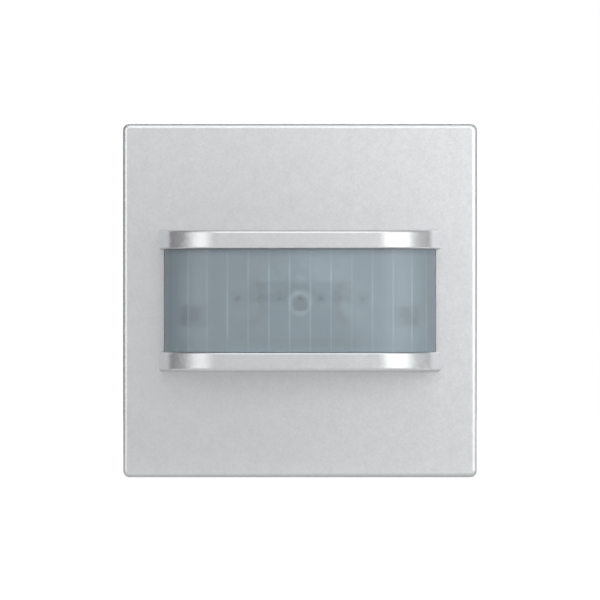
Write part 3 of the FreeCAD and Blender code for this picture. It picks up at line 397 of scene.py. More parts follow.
@dataclass(frozen=True)
class PaintedLightPatch:
    """A soft patch painted on the lens: painted shade where its tone is below 1, painted light
    where it is above. large and soft.

    Its lengths are in millimetres, as the lens's unrolled map is.

    Attributes:
        run: Its middle, along the lens from the lens's middle, on both sides.
        height: Its middle, up from the lens's middle.
        half_run: Half its width.
        half_height: Half its height.
        tone: How bright the lens is there, where 1 is as elsewhere.
        edge: How soft its edges are.
    """

    run: float
    height: float
    half_run: float
    half_height: float
    tone: float
    edge: float = 0.6

    def draw(self, tree: NodeTree, run: NodeSocket, height: NodeSocket, shown: Node) -> Node:
        """Draw it on the lens.

        Args:
            tree: The node tree.
            run: Distance along the lens from its middle.
            height: Height above the lens's middle.
            shown: How strongly the patch is painted at this point.

        Returns:
            The tone that it gives the lens.
        """
        shares = []
        for place, middle, half in (
            (run, self.run, self.half_run), (height, self.height, self.half_height)
        ):
            off = add_node(tree, "Math", [place, middle], operation="SUBTRACT")
            away = add_node(tree, "Math", [off], operation="ABSOLUTE")
            shares.append(add_node(
                tree, "MapRange", [away, half - self.edge, half + self.edge, 1.0, 0.0],
                interpolation_type="SMOOTHSTEP",
            ))
        inside = add_node(tree, "Math", shares, operation="MULTIPLY")
        within = add_node(tree, "Math", [inside, shown], operation="MULTIPLY")
        return add_node(
            tree, "MapRange", {"Value": within, "To Min": 1.0, "To Max": self.tone}
        )


@dataclass(frozen=True)
class MilkyPolyethylene(SurfaceFinish):
    """Pigmented high-density polyethylene, moulded: milky, with a waxy sheen.

    It scatters about half of the light and lets the rest through, so pale and dark
    things behind it show faintly. The clear share has no sheen of its own, so the
    milky share carries twice as much. The inner side carries the ring grooves of
    the Fresnel segments. The real grooves are about 0.2 mm apart. They are drawn
    0.45 mm apart so that they show at the render's size. At the centre of each
    segment of the flat middle a sink mark is painted as a darker spot with a fainter
    ring round it, which is painted shade. The milky share is painted lighter towards
    the upper right, which is painted light, and darker just under the upper rail,
    which is painted shade. Its raised border lines are painted lighter, a painted
    highlight, and soft patches of painted shade and painted light lie on it.

    Attributes:
        zone: Which kind of the lens's surface it is.
        colour: The milky share, from which it drifts.
        warm: The milky share, to which it drifts.
        painted_light_colour: The milky share where it is painted lightest, to the upper right,
            as painted light.
        clear: Colour of the light that passes.
        roughness: The skin's roughness.
        ior: Index of refraction of polyethylene.
        sheen: Specular level of the milky share.
        grain_mm: Size of the skin's grain.
        grain_depth: Its depth.
        ring_mm: Distance between grooves.
        ring_depth: Their depth.
        relief: Strength of the grain or the grooves.
        drift_mm: Size of the colour's drift.
        painted_light_way: Direction in which the painted light grows.
        painted_light_range: Where along it the painted light starts and where it is full.
        rail_shade_mm: Height where the painted shade under the upper rail starts.
        rail_shade_width_mm: Height of that painted shade.
        rail_shade_tone: How bright the painted shade leaves the lens at the rail.
        pitch_mm: Distance between the segments' centres, as the lens panel has it.
        centre_mm: Height of the centres.
        sinks: Width and tone of a sink mark's painted shade and of the painted shade round it.
        sink_start_mm: Distance from a centre to where both begin to fade.
        sink_wander_mm: How uneven they are.
        sink_patches: How many patches of that come to a millimetre.
        sunk_half_mm: Half the stretch that has sink marks.
        border_highlight_gain: How much lighter a border line's painted highlight makes it,
            where it shows fully.
        border_patches: How many patches come to a millimetre, along, up and through.
        border_range: Noise at which a line is faintest and full, and the faintest.
        border_fade: Heights where a line starts and ends fading, and its shares there.
        tube_height_mm: Height of the light tube's axis.
        tube_mm: Radius within which the tube hides all else.
        tube_edge_mm: Width of that circle's edge.
        seen: Painted patches: painted shade at both ends and in a band across the middle, and
            painted light near the top.
        painted_patch_noise: How many patches come to a millimetre.
        painted_patch_range: Noise at which the patches are painted least and fully, and the
            least share.
    """

    name: str = "milky_polyethylene"
    zone: LensZone = LensZone.SKIN
    colour: str = "C2D3DE"
    warm: str = "C7D5DD"
    painted_light_colour: str = "D5E5F0"
    clear: str = "EBF3F5"
    roughness: float = 0.34
    ior: float = 1.52
    sheen: float = 1.0
    grain_mm: float = 0.5
    grain_depth: float = 0.02 * MM
    ring_mm: float = 0.45
    ring_depth: float = 0.12 * MM
    relief: float = 0.2
    drift_mm: float = 3.0
    painted_light_way: tuple[float, float, float] = (1.0, 0.0, 0.75)
    painted_light_range: tuple[float, float] = (1.0 * MM, 9.0 * MM)
    rail_shade_mm: float = 7.75
    rail_shade_width_mm: float = 1.2
    rail_shade_tone: float = 0.74
    pitch_mm: float = 3.67
    centre_mm: float = 0.4
    sinks: tuple[tuple[float, float], ...] = ((0.8, 0.78), (2.0, 0.9))
    sink_start_mm: float = 0.6
    sink_wander_mm: float = 1.5
    sink_patches: float = 1.1
    sunk_half_mm: float = 12.6
    border_highlight_gain: float = 1.2
    border_patches: tuple[float, float, float] = (0.9, 0.16, 1.0)
    border_range: tuple[float, float, float] = (0.4, 0.56, 0.35)
    border_fade: tuple[float, float, float, float] = (5.5, 8.8, 1.0, 0.25)
    tube_height_mm: float = -0.5
    tube_mm: float = 2.1
    tube_edge_mm: float = 0.8
    # Painted shade at both ends and in a band across the middle, and painted light in a band
    # near the top.
    seen: tuple[PaintedLightPatch, ...] = (
        PaintedLightPatch(18.9, -2.8, 2.7, 1.75, 0.88),
        PaintedLightPatch(0.0, 1.5, 9.3, 1.8, 0.9),
        PaintedLightPatch(0.0, 5.4, 9.3, 2.1, 1.1),
    )
    painted_patch_noise: float = 0.45
    painted_patch_range: tuple[float, float, float] = (0.35, 0.6, 0.4)

    def off_tube(self, tree: NodeTree) -> Node:
        """Leave out the pale light tube, which ends close behind the lens.

        Args:
            tree: The node tree.

        Returns:
            0 over the tube, 1 elsewhere.
        """
        spread = add_node(tree, "UVMap", uv_map=ALONG_SURFACE)
        away = add_node(
            tree, "VectorMath", [spread, (0.0, self.tube_height_mm, 0.0)],
            operation="DISTANCE",
        )
        return add_node(
            tree, "MapRange", [away, self.tube_mm, self.tube_mm + self.tube_edge_mm],
            interpolation_type="SMOOTHSTEP",
        )

    def painted_patch_tone(self, tree: NodeTree) -> Node:
        """Paint the patches of painted shade and painted light, unevenly.

        Args:
            tree: The node tree.

        Returns:
            The tone that all of it gives the lens.
        """
        spread = add_node(tree, "UVMap", uv_map=ALONG_SURFACE)
        wander = add_node(
            tree, "TexNoise", {"Vector": spread, "Scale": self.painted_patch_noise, "Detail": 1.0}
        )
        clear = add_node(tree, "MapRange", [wander, *self.painted_patch_range])
        shown = add_node(tree, "Math", [clear, self.off_tube(tree)], operation="MULTIPLY")
        folded = add_node(tree, "VectorMath", [spread], operation="ABSOLUTE")
        run = add_node(tree, "SeparateXYZ", [folded]).outputs[0]
        height = add_node(tree, "SeparateXYZ", [spread]).outputs[1]
        tone, *others = [thing.draw(tree, run, height, shown) for thing in self.seen]
        for other in others:
            tone = add_node(tree, "Math", [tone, other], operation="MULTIPLY")
        return tone

    def centre_distance(self, tree: NodeTree) -> Node:
        """Measure the distance to the nearest segment's centre.

        Args:
            tree: The node tree.

        Returns:
            The distance in millimetres.
        """
        spread = add_node(tree, "UVMap", uv_map=ALONG_SURFACE)
        parts = add_node(tree, "SeparateXYZ", [spread])
        across = add_node(
            tree, "Math", [parts.outputs[0], self.pitch_mm / 2], operation="PINGPONG"
        )
        above = add_node(tree, "Math", [parts.outputs[1], self.centre_mm], operation="SUBTRACT")
        both = add_node(tree, "CombineXYZ", [across, above])
        return add_node(tree, "VectorMath", [both], operation="LENGTH")

    def sink_painted_shade(self, tree: NodeTree) -> Node:
        """Paint the sink marks darker, as painted shade with a fainter painted shade round
        each, unevenly and on the flat middle only.

        Args:
            tree: The node tree.

        Returns:
            The tone that the marks give the lens.
        """
        spread = add_node(tree, "UVMap", uv_map=ALONG_SURFACE)
        run = add_node(tree, "SeparateXYZ", [spread])
        off_middle = add_node(tree, "Math", [run], operation="ABSOLUTE")
        bent = add_node(
            tree, "Math", [off_middle, self.sunk_half_mm], operation="GREATER_THAN"
        )
        wander = add_node(
            tree, "TexNoise", {"Vector": spread, "Scale": self.sink_patches, "Detail": 2.0}
        )
        uneven = add_node(
            tree, "Math", [wander, self.sink_wander_mm, self.centre_distance(tree)],
            operation="MULTIPLY_ADD",
        )
        # Painted shade: a dark spot at each segment's centre, with a fainter painted shade
        # round it.
        start = self.sink_start_mm
        mark, halo = (
            add_node(
                tree, "MapRange", [uneven, start, start + width, tone, 1.0],
                interpolation_type="SMOOTHSTEP",
            )
            for width, tone in self.sinks
        )
        shade = add_node(
            tree, "MapRange", {"Value": self.off_tube(tree), "To Min": 1.0, "To Max": halo}
        )
        spot = add_node(tree, "Math", [mark, shade], operation="MULTIPLY")
        return add_node(tree, "Math", [spot, bent], operation="MAXIMUM")

    def border_highlight_tone(self, tree: NodeTree) -> Node:
        """Paint a border line lighter, as a painted highlight, less in patches and near the
        rails.

        Args:
            tree: The node tree.

        Returns:
            The tone that the line gives the lens.
        """
        spread = add_node(tree, "UVMap", uv_map=ALONG_SURFACE)
        drawn = add_node(tree, "Mapping", {"Vector": spread, "Scale": self.border_patches})
        patchy = add_node(tree, "TexNoise", {"Vector": drawn, "Scale": 1.0, "Detail": 1.0})
        own = add_node(tree, "Attribute", attribute_name=BORDER_SHOWN).outputs["Fac"]
        shown = add_node(tree, "MapRange", [patchy, *self.border_range])
        height = add_node(tree, "SeparateXYZ", [spread]).outputs[1]
        off_middle = add_node(tree, "Math", [height], operation="ABSOLUTE")
        fade = add_node(tree, "MapRange", [off_middle, *self.border_fade])
        drawn_out = add_node(tree, "Math", [shown, fade], operation="MULTIPLY")
        clearly = add_node(tree, "Math", [drawn_out, own], operation="MULTIPLY")
        # Painted highlight: the raised border line is painted lighter than the skin.
        return add_node(
            tree, "MapRange", {"Value": clearly, "To Min": 1.0, "To Max": self.border_highlight_gain}
        )

    def tint(self, tree: NodeTree, place: NodeSocket) -> Node:
        """Colour the milky share: a slow drift, with painted light to the upper right, painted
        shade under the upper rail and painted patches of shade and light, and on the border
        lines their painted highlight, elsewhere the sink marks' painted shade.

        Args:
            tree: The node tree.
            place: Object coordinates.

        Returns:
            The colour.
        """
        cloud = add_node(
            tree, "TexNoise",
            {"Vector": place, "Scale": grain_scale(self.drift_mm), "Detail": 4.0},
        )
        drift = add_node(
            tree, "Mix", [cloud, linear(self.colour), linear(self.warm)], data_type="RGBA"
        )
        # Painted light: the milky share is painted lighter towards the upper right, where the
        # lamps light the lens most.
        flow = add_node(tree, "VectorMath", [place, self.painted_light_way], operation="DOT_PRODUCT")
        painted_light_share = add_node(
            tree, "MapRange", [flow, *self.painted_light_range], interpolation_type="SMOOTHSTEP"
        )
        drift = add_node(tree, "Mix", [painted_light_share, drift, linear(self.painted_light_colour)], data_type="RGBA")
        # Painted shade: the lens is painted darker in its top 1.2 mm, where the upper rail
        # shades it.
        height = add_node(tree, "SeparateXYZ", [place]).outputs[2]
        top = self.rail_shade_mm + self.rail_shade_width_mm
        rail_shade = add_node(
            tree, "MapRange", [height, self.rail_shade_mm * MM, top * MM, 1.0, self.rail_shade_tone]
        )
        on_border = self.zone is LensZone.BORDER
        own = self.border_highlight_tone(tree) if on_border else self.sink_painted_shade(tree)
        shown = add_node(tree, "Math", [rail_shade, self.painted_patch_tone(tree)], operation="MULTIPLY")
        tone = add_node(tree, "Math", [own, shown], operation="MULTIPLY")
        return add_node(
            tree, "Mix", [1.0, drift, tone], data_type="RGBA", blend_type="MULTIPLY"
        )

    def shader(self, tree: NodeTree, place: NodeSocket) -> Node:
        """Mix the milky share with the light that passes.

        Args:
            tree: The node tree.
            place: Object coordinates.

        Returns:
            The shader node.
        """
        if self.zone is LensZone.GROOVED:
            depth = self.ring_depth
            form = add_node(
                tree, "Math", [self.centre_distance(tree), self.ring_mm, 0.0],
                operation="WRAP",
            )
        else:
            depth = self.grain_depth
            form = add_node(
                tree, "TexNoise",
                {"Vector": place, "Scale": grain_scale(self.grain_mm), "Detail": 2.0},
            )
        bump = add_node(
            tree, "Bump", {"Height": form, "Strength": self.relief, "Distance": depth}
        )
        milky = add_node(
            tree, "BsdfPrincipled",
            {
                "Base Color": self.tint(tree, place), "Roughness": self.roughness,
                "IOR": self.ior, "Specular IOR Level": self.sheen, "Normal": bump,
            },
        )
        clear = add_node(tree, "BsdfTransparent", {"Color": linear(self.clear)})
        return add_node(tree, "MixShader", [self.zone.passed, milky, clear])


@dataclass(frozen=True)
class MouldedPlastic(SurfaceFinish):
    """Opaque injection-moulded plastic: satin, with a spark-eroded grain.

    Attributes:
        colour: Its colour.
        roughness: Its roughness.
        grain_mm: Size of the grain.
        relief: Strength of the grain.
        grain_depth: Depth of the grain.
        sheen_spread: How much the grain changes the roughness, either way.
        flow_mm: Size of the clouds that the melt leaves.
        flow_range: Tones of these clouds.
        ior: Index of refraction of such plastics.
    """

    colour: str
    roughness: float
    grain_mm: float = 0.25
    relief: float = 0.15
    grain_depth: float = 0.05 * MM
    sheen_spread: float = 0.06
    flow_mm: float = 9.0
    flow_range: tuple[float, float] = (0.9, 1.1)
    ior: float = 1.5

    def shader(self, tree: NodeTree, place: NodeSocket) -> Node:
        """Grain the skin and cloud its colour.

        Args:
            tree: The node tree.
            place: Object coordinates.

        Returns:
            The shader node.
        """
        grain = add_node(
            tree, "TexNoise",
            {"Vector": place, "Scale": grain_scale(self.grain_mm), "Detail": 3.0},
        )
        rough = (self.roughness - self.sheen_spread, self.roughness + self.sheen_spread)
        colour = self.clouded(tree, place, self.colour, self.flow_mm, self.flow_range, 2.0)
        return add_node(
            tree, "BsdfPrincipled",
            {
                "Base Color": colour, "IOR": self.ior,
                **self.worked(tree, grain, rough, self.relief, self.grain_depth),
            },
        )


@dataclass(frozen=True)
class PlatedMetal(SurfaceFinish):
    """Plated or rolled metal: bright, with fine draw lines and faint stains.

    Attributes:
        colour: Its colour.
        roughness: Its roughness.
        stretch: Scale of the lines along each axis, smallest along their length.
        line_mm: Width of a line.
        line_depth: Depth of a line.
        relief: Strength of the lines.
        sheen_range: How much the lines take from and add to the roughness.
        stain_mm: Size of a stain.
        stain_range: Tones of the stains.
    """

    colour: str
    roughness: float
    stretch: tuple[float, float, float] = (1.0, 1.0, 1.0)
    line_mm: float = 0.12
    line_depth: float = 0.01 * MM
    relief: float = 0.12
    sheen_range: tuple[float, float] = (0.07, 0.09)
    stain_mm: float = 4.0
    stain_range: tuple[float, float] = (0.86, 1.06)

    def shader(self, tree: NodeTree, place: NodeSocket) -> Node:
        """Draw the lines and stain the metal.

        Args:
            tree: The node tree.
            place: Object coordinates.

        Returns:
            The shader node.
        """
        along = add_node(tree, "Mapping", {"Vector": place, "Scale": self.stretch})
        lines = add_node(
            tree, "TexNoise",
            {"Vector": along, "Scale": grain_scale(self.line_mm), "Detail": 3.0},
        )
        less, more = self.sheen_range
        rough = (self.roughness - less, self.roughness + more)
        colour = self.clouded(tree, place, self.colour, self.stain_mm, self.stain_range, 3.0)
        return add_node(
            tree, "BsdfPrincipled",
            {
                "Base Color": colour, "Metallic": 1.0,
                **self.worked(tree, lines, rough, self.relief, self.line_depth),
            },
        )


@dataclass(frozen=True)
class BoardLaminate(SurfaceFinish):
    """Glass-epoxy laminate under glossy solder mask, paler over the copper tracks.

    Attributes:
        mask: Colour of the mask on laminate.
        over_copper: Its colour on copper.
        track_mm: Distance between tracks.
        track_width: Width of a track, as a share of that distance.
        field_length: Distance between cross tracks, in such distances.
        jog: How far they are shifted from row to row, as a share of it.
        long_row: How much farther apart they stand in some rows.
        long_every: How many rows it takes to the next of these.
        copper: Thickness of the copper.
        relief: Strength of its step.
        roughness: The mask's roughness.
        ior: Index of refraction of the mask.
    """

    mask: str
    over_copper: str
    track_mm: float = 1.27
    track_width: float = 0.12
    field_length: float = 3.1
    jog: float = 0.37
    long_row: float = 1.6
    long_every: int = 3
    copper: float = 0.035 * MM
    relief: float = 0.4
    roughness: float = 0.28
    ior: float = 1.55

    def shader(self, tree: NodeTree, place: NodeSocket) -> Node:
        """Lay the tracks under the mask.

        Args:
            tree: The node tree.
            place: Object coordinates.

        Returns:
            The shader node.
        """
        flat = add_node(tree, "Mapping", {"Vector": place, "Rotation": (math.pi / 2, 0, 0)})
        tracks = add_node(
            tree, "TexBrick",
            {
                "Vector": flat, "Scale": grain_scale(self.track_mm),
                "Mortar Size": self.track_width, "Mortar Smooth": 0.0,
                "Brick Width": self.field_length, "Row Height": 1.0,
            },
            offset=self.jog, squash=self.long_row, squash_frequency=self.long_every,
        ).outputs["Fac"]
        return add_node(
            tree, "BsdfPrincipled",
            {
                "Base Color": add_node(
                    tree, "Mix", [tracks, linear(self.mask), linear(self.over_copper)],
                    data_type="RGBA",
                ),
                "Roughness": self.roughness,
                "IOR": self.ior,
                "Normal": add_node(
                    tree, "Bump",
                    {"Height": tracks, "Strength": self.relief, "Distance": self.copper},
                ),
            },
        )


@dataclass(frozen=True)
class ClearTinted(SurfaceFinish):
    """Polished see-through material, such as tinted epoxy or a coated filter.

    Attributes:
        colour: Its colour.
        roughness: Its roughness.
        transmission: Share of the light that passes through it.
        ior: Its index of refraction.
        cloud_mm: Size of its faint clouds.
        cloud_range: Tones of the clouds.
    """

    colour: str
    roughness: float
    transmission: float
    ior: float
    cloud_mm: float = 2.0
    cloud_range: tuple[float, float] = (0.9, 1.1)

    def shader(self, tree: NodeTree, place: NodeSocket) -> Node:
        """Cloud the clear body.

        Args:
            tree: The node tree.
            place: Object coordinates.

        Returns:
            The shader node.
        """
        colour = self.clouded(tree, place, self.colour, self.cloud_mm, self.cloud_range, 2.0)
        return add_node(
            tree, "BsdfPrincipled",
            {
                "Base Color": colour, "Roughness": self.roughness,
                "Transmission Weight": self.transmission, "IOR": self.ior,
            },
        )


class Finish(Enum):
    """Every finish on the detector's CAD nodes and prints, by what it is."""

    SILVER = SilverLacquer()
    # ABS housings: an even satin skin with a fine spark-eroded grain.
    BLACK_ABS = MouldedPlastic("black_abs", "17181A", 0.52)
    GREY_ABS = MouldedPlastic("grey_abs", "A4AAAE", 0.5)
    DARK_ABS = MouldedPlastic("dark_grey_abs", "777C80", 0.5)
    # Polycarbonate: harder, with a coarser and deeper grain.
    ANTHRACITE = MouldedPlastic("anthracite_polycarbonate", "303235", 0.48, 0.35, 0.3)
    # Acetal: smooth and slightly waxy, so its dials catch the light.
    WHITE = MouldedPlastic("white_acetal", "EFEFEA", 0.38, 0.2, 0.1)
    # Chip epoxy and fired ceramic: matt, with a powdery grain.
    EPOXY = MouldedPlastic("moulded_chip_epoxy", "1D1D1F", 0.55, 0.12, 0.3)
    CERAMIC = MouldedPlastic("fired_ceramic", "9A7A55", 0.45, 0.15, 0.2)
    # The trimmers' thermoset: glossier than ABS and deep blue.
    THERMOSET = MouldedPlastic("blue_thermoset", "24508F", 0.4, 0.2, 0.1)
    # Nickel, tin, gold and zinc plate: the zinc is the brightest, the tin the dullest.
    NICKEL = PlatedMetal("satin_nickel", "C9C5BC", 0.3)
    TIN = PlatedMetal("matt_tin_plate", "9C9A96", 0.48)
    GOLD = PlatedMetal("gold_plate", "D9B45C", 0.3, (1.0, 0.02, 1.0))
    ZINC = PlatedMetal("bright_zinc", "C3C7CC", 0.28)
    # Drawn cans and rolled springs: lines along the way that they were worked.
    ALUMINIUM = PlatedMetal("drawn_aluminium", "CACCCF", 0.32, (1.0, 0.1, 1.0))
    SPRING = PlatedMetal("rolled_spring_steel", "A9A9A6", 0.3, (1.0, 1.0, 0.08))
    # Pad-printed ink: flat and chalky.
    INK = MouldedPlastic("pad_printed_ink", "D9D9D4", 0.6, 0.08, 0.1)
    # Boards: green at the rear, white behind the lens, where it looks pale.
    GREEN_BOARD = BoardLaminate("green_board_laminate", "1C5A33", "2C7A45")
    WHITE_BOARD = BoardLaminate("white_board_laminate", "C4CCCB", "D3DAD8")
    # A silicon filter mirrors darkly. The status light is milky until it is lit.
    FILTER = ClearTinted("coated_silicon", "232228", 0.12, 0.0, 2.4)
    MILKY_EPOXY = ClearTinted("milky_epoxy", "DDE0E0", 0.2, 0.35, 1.53)

    def material(self) -> Material:
        """Return the finish's material, built on first use."""
        return bpy.data.materials.get(self.value.name) or self.value.make()


CAD_FINISHES: dict[Finish, tuple[str, ...]] = {
    Finish.SILVER: ("cover_plate", "upper_rail", "lower_rail"),
    Finish.BLACK_ABS: ("board_link", "plug_base"),
    Finish.GREY_ABS: ("sensor_carrier",),
    Finish.DARK_ABS: ("lens_frame",),
    Finish.ANTHRACITE: ("rear_housing",),
    Finish.WHITE: ("light_tube", "time_dial", "lux_dial", "range_dial"),
    Finish.EPOXY: ("light_sensor", "controller_chip", "left_amplifier", "right_amplifier"),
    Finish.CERAMIC: ("sensor_board_parts",),
    Finish.THERMOSET: ("time_trimmer", "lux_trimmer", "range_trimmer"),
    Finish.NICKEL: ("status_led_leads", "crystal"),
    Finish.TIN: ("left_pyro_can", "right_pyro_can"),
    Finish.GOLD: ("board_link_pins", "plug_pins", "left_pyro_header", "right_pyro_header"),
    Finish.ALUMINIUM: ("capacitors",),
    Finish.SPRING: (
        "upper_left_latch", "lower_left_latch", "upper_right_latch", "lower_right_latch",
    ),
    Finish.ZINC: ("housing_screws",),
    Finish.GREEN_BOARD: ("control_board",),
    Finish.WHITE_BOARD: ("sensor_board",),
    Finish.FILTER: ("left_pyro_filter", "right_pyro_filter"),
    Finish.MILKY_EPOXY: ("status_led",),
}


def dress(piece: Object, *materials: Material) -> None:
    """Put materials in a piece's slots.

    Args:
        piece: The piece.
        *materials: The materials, in slot order.
    """
    piece.data.materials.clear()
    for material in materials:
        piece.data.materials.append(material)


def deselect_all() -> None:
    """Leave object mode with nothing selected."""
    if bpy.context.mode != "OBJECT":
        bpy.ops.object.mode_set(mode="OBJECT")
    bpy.ops.object.select_all(action="DESELECT")


def make_active(piece: Object) -> None:
    """Select one object only.

    Args:
        piece: The object.
    """
    deselect_all()
    piece.select_set(True)
    bpy.context.view_layer.objects.active = piece


def settle(piece: Object) -> None:
    """Apply an object's place, turn and size to its mesh.

    Args:
        piece: The object, which ends selected alone.
    """
    make_active(piece)
    bpy.ops.object.transform_apply(location=True, rotation=True, scale=True)


def edit_all(piece: Object) -> None:
    """Start editing an object with all of its mesh selected.

    Args:
        piece: The object, which ends in edit mode.
    """
    make_active(piece)
    bpy.ops.object.mode_set(mode="EDIT")
    bpy.ops.mesh.select_all(action="SELECT")


def pick(piece: Object, part: str, test: Callable[[Vector], bool], mode: str) -> None:
    """Select the vertices, edges or faces whose place passes a test, in edit mode.

    Args:
        piece: The object, which ends in edit mode.
        part: "vertices", "edges" or "polygons".
        test: Given a vertex's place, or an edge's or face's middle.
        mode: "VERT", "EDGE" or "FACE".
    """
    make_active(piece)
    bpy.context.tool_settings.mesh_select_mode = [mode == kind for kind in PICK_MODES]
    mesh = piece.data
    for group in (mesh.vertices, mesh.edges, mesh.polygons):
        group.foreach_set("select", [False] * len(group))
    for item in getattr(mesh, part):
        if part == "vertices":
            place = item.co
        elif part == "edges":
            start, end = (mesh.vertices[number].co for number in item.vertices)
            place = (start + end) / 2
        else:
            place = item.center
        item.select = test(place)
    bpy.ops.object.mode_set(mode="EDIT")


def face_outward(piece: Object) -> None:
    """Merge doubled points and turn every face outwards.

    Args:
        piece: The object, which ends in object mode.
    """
    edit_all(piece)
    bpy.ops.mesh.remove_doubles(threshold=SNAP)
    bpy.ops.mesh.normals_make_consistent(inside=False)
    bpy.ops.object.mode_set(mode="OBJECT")


def apply_modifier(piece: Object, kind: str, **settings: object) -> None:
    """Add a modifier, set it and apply it.

    Args:
        piece: The object.
        kind: The modifier's type.
        **settings: Its properties.
    """
    make_active(piece)
    modifier = piece.modifiers.new(kind.lower(), kind)
    for name, value in settings.items():
        setattr(modifier, name, value)
    bpy.ops.object.modifier_apply(modifier=modifier.name)


def finish_piece(piece: Object, name: str) -> None:
    """Name a finished piece, fix its place in its mesh, and tie it to the head.

    Args:
        piece: The piece.
        name: Its name.
    """
    settle(piece)
    piece.name = name
    piece.data.name = name
    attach(piece, HEAD)
    LOG.info("%s: %d faces, rides on %s", name, len(piece.data.polygons), HEAD)


@dataclass
class LensPanel:
    """The bowed lens, with a raised border line between its segments.

    Attributes:
        front_y: Its front plane.
        flange_y: The front of the flanges at its ends, behind the cover plate.
        face_y: The cover plate's face.
        half_flat: Half the width of its flat middle.
        bend: Outer radius of its corners.
        thickness: Wall thickness.
        half_height: Half its height at the plate.
        growth: How much taller each half is at the hood's front plane.
        hood_reach: How far the hood's front plane stands off the plate.
        flange_reach: How far the flanges stand out.
        pitch: Distance between segment borders along the surface.
        borders: Segment borders on each side of the middle.
        border_width: Width of a border line.
        border_height: How far it stands proud.
        border_shown: How strongly each border's painted highlight shows, left and right, from
            the middle out.
        step: Longest facet round a corner, in radians.
        smooth_below: Sharpest edge that is shaded smooth, in degrees.
    """

    front_y: float = -21.3 * MM
    flange_y: float = -7.0 * MM
    face_y: float = -9.0 * MM
    half_flat: float = 14.1 * MM
    bend: float = 10.0 * MM
    thickness: float = 1.0 * MM
    half_height: float = 9.05 * MM
    growth: float = 0.1 * MM
    hood_reach: float = 13.5 * MM
    flange_reach: float = 1.3 * MM
    pitch: float = 3.67 * MM
    borders: int = 8
    border_width: float = 0.32 * MM
    border_height: float = 0.012 * MM
    border_shown: tuple[tuple[float, float], ...] = (
        (1.1, 0.8), (1.0, 0.9), (0.55, 0.2), (1.1, 0.65),
        (0.5, 0.8), (1.2, 1.2), (0.6, 1.1), (0.6, 0.5),
    )
    step: float = 0.05
    smooth_below: float = 25.0

    @property
    def corner_end(self) -> float:
        """Distance from the middle, along the surface, to where a corner ends."""
        return self.half_flat + self.bend * math.pi / 2

    @property
    def corner_y(self) -> float:
        """Depth of the corners' axes."""
        return self.front_y + self.bend

    @property
    def border_middles(self) -> list[float]:
        """Distances from the middle, along the surface, to the borders' middles."""
        return [(number + 0.5) * self.pitch for number in range(self.borders)]

    def stops(self) -> list[float]:
        """Find where facets end.

        Returns:
            Distances from the middle, along the surface.
        """
        marks = {self.half_flat, self.corner_end}
        for middle in self.border_middles:
            marks.update((middle - self.border_width / 2, middle + self.border_width / 2))
        return sorted(marks)

    def draw_half(self, skin: Object, side: int) -> None:
        """Run the skin from its middle strip round one corner and back to the flange.

        Args:
            skin: The sheet.
            side: 1 to the right, -1 to the left.
        """
        stops = self.stops()
        edge_x = side * stops[0]
        pick(skin, "edges", lambda p: abs(p.x - edge_x) < SNAP, "EDGE")
        for start, end in zip(stops, stops[1:]):
            if end <= self.half_flat + SNAP:
                bpy.ops.mesh.extrude_region_move(
                    TRANSFORM_OT_translate={"value": (side * (end - start), 0, 0)}
                )
                continue
            angle = (end - start) / self.bend
            bpy.ops.mesh.spin(
                steps=max(1, math.ceil(angle / self.step)), angle=-side * angle,
                center=(side * self.half_flat, self.corner_y, 0), axis=(0, 0, 1),
            )
        for value in (
            (0, self.flange_y - self.corner_y, 0),
            (side * self.flange_reach, 0, 0),
        ):
            bpy.ops.mesh.extrude_region_move(TRANSFORM_OT_translate={"value": value})
        bpy.ops.object.mode_set(mode="OBJECT")

    def run_at(self, place: Vector) -> float:
        """Measure how far along the surface a point lies.

        Args:
            place: A point of the front, a corner or a side.

        Returns:
            Its distance from the middle, negative to the left.
        """
        beyond = abs(place.x) - self.half_flat
        if beyond <= 0:
            return place.x
        if place.y > self.corner_y:
            run = self.corner_end + place.y - self.corner_y
        else:
            run = self.half_flat + self.bend * math.atan2(beyond, self.corner_y - place.y)
        return math.copysign(run, place.x)

    def spread_heights(self, skin: Object) -> None:
        """Make the sheet taller towards the front, where the hood opens out.

        Args:
            skin: The sheet.
        """
        levels = {
            round(point.co.y, LEVEL_DIGITS)
            for point in skin.data.vertices if point.co.y < self.face_y
        }
        for level in sorted(levels):
            grown = 1 + self.growth * (self.face_y - level) / self.hood_reach / self.half_height
            pick(skin, "vertices", lambda p: abs(p.y - level) < SNAP, "VERT")
            bpy.ops.transform.resize(value=(1, 1, grown))
        bpy.ops.object.mode_set(mode="OBJECT")

    def on_border(self, place: Vector) -> bool:
        """Tell whether a point lies within a border strip.

        Args:
            place: A point of the front, a corner or a side.

        Returns:
            Whether it does.
        """
        run = abs(self.run_at(place))
        reach = self.border_width / 2
        return any(abs(run - middle) < reach for middle in self.border_middles)

    def raise_borders(self, skin: Object) -> None:
        """Give the border strips their own finish and stand them proud of the skin.

        Args:
            skin: The sheet.
        """
        pick(skin, "polygons", self.on_border, "FACE")
        skin.active_material_index = LensZone.BORDER.slot
        bpy.ops.object.material_slot_assign()
        bpy.ops.mesh.extrude_region_shrink_fatten(
            TRANSFORM_OT_shrink_fatten={"value": self.border_height}
        )
        bpy.ops.object.mode_set(mode="OBJECT")

    def unroll(self, skin: Object) -> None:
        """Keep each point's place along and up the surface, in mm, as a UV map.

        How strongly each border's painted highlight shows is kept as an attribute of its faces.

        Args:
            skin: The sheet.
        """
        mesh = skin.data
        layer = mesh.uv_layers.new(name=ALONG_SURFACE)
        for corner in mesh.loops:
            place = mesh.vertices[corner.vertex_index].co
            layer.data[corner.index].uv = (self.run_at(place) / MM, place.z / MM)
        shown = mesh.attributes.new(BORDER_SHOWN, "FLOAT", "FACE")
        for face in mesh.polygons:
            run = self.run_at(face.center)
            number = min(int(abs(run) / self.pitch), self.borders - 1)
            shown.data[face.index].value = self.border_shown[number][int(run > 0)]

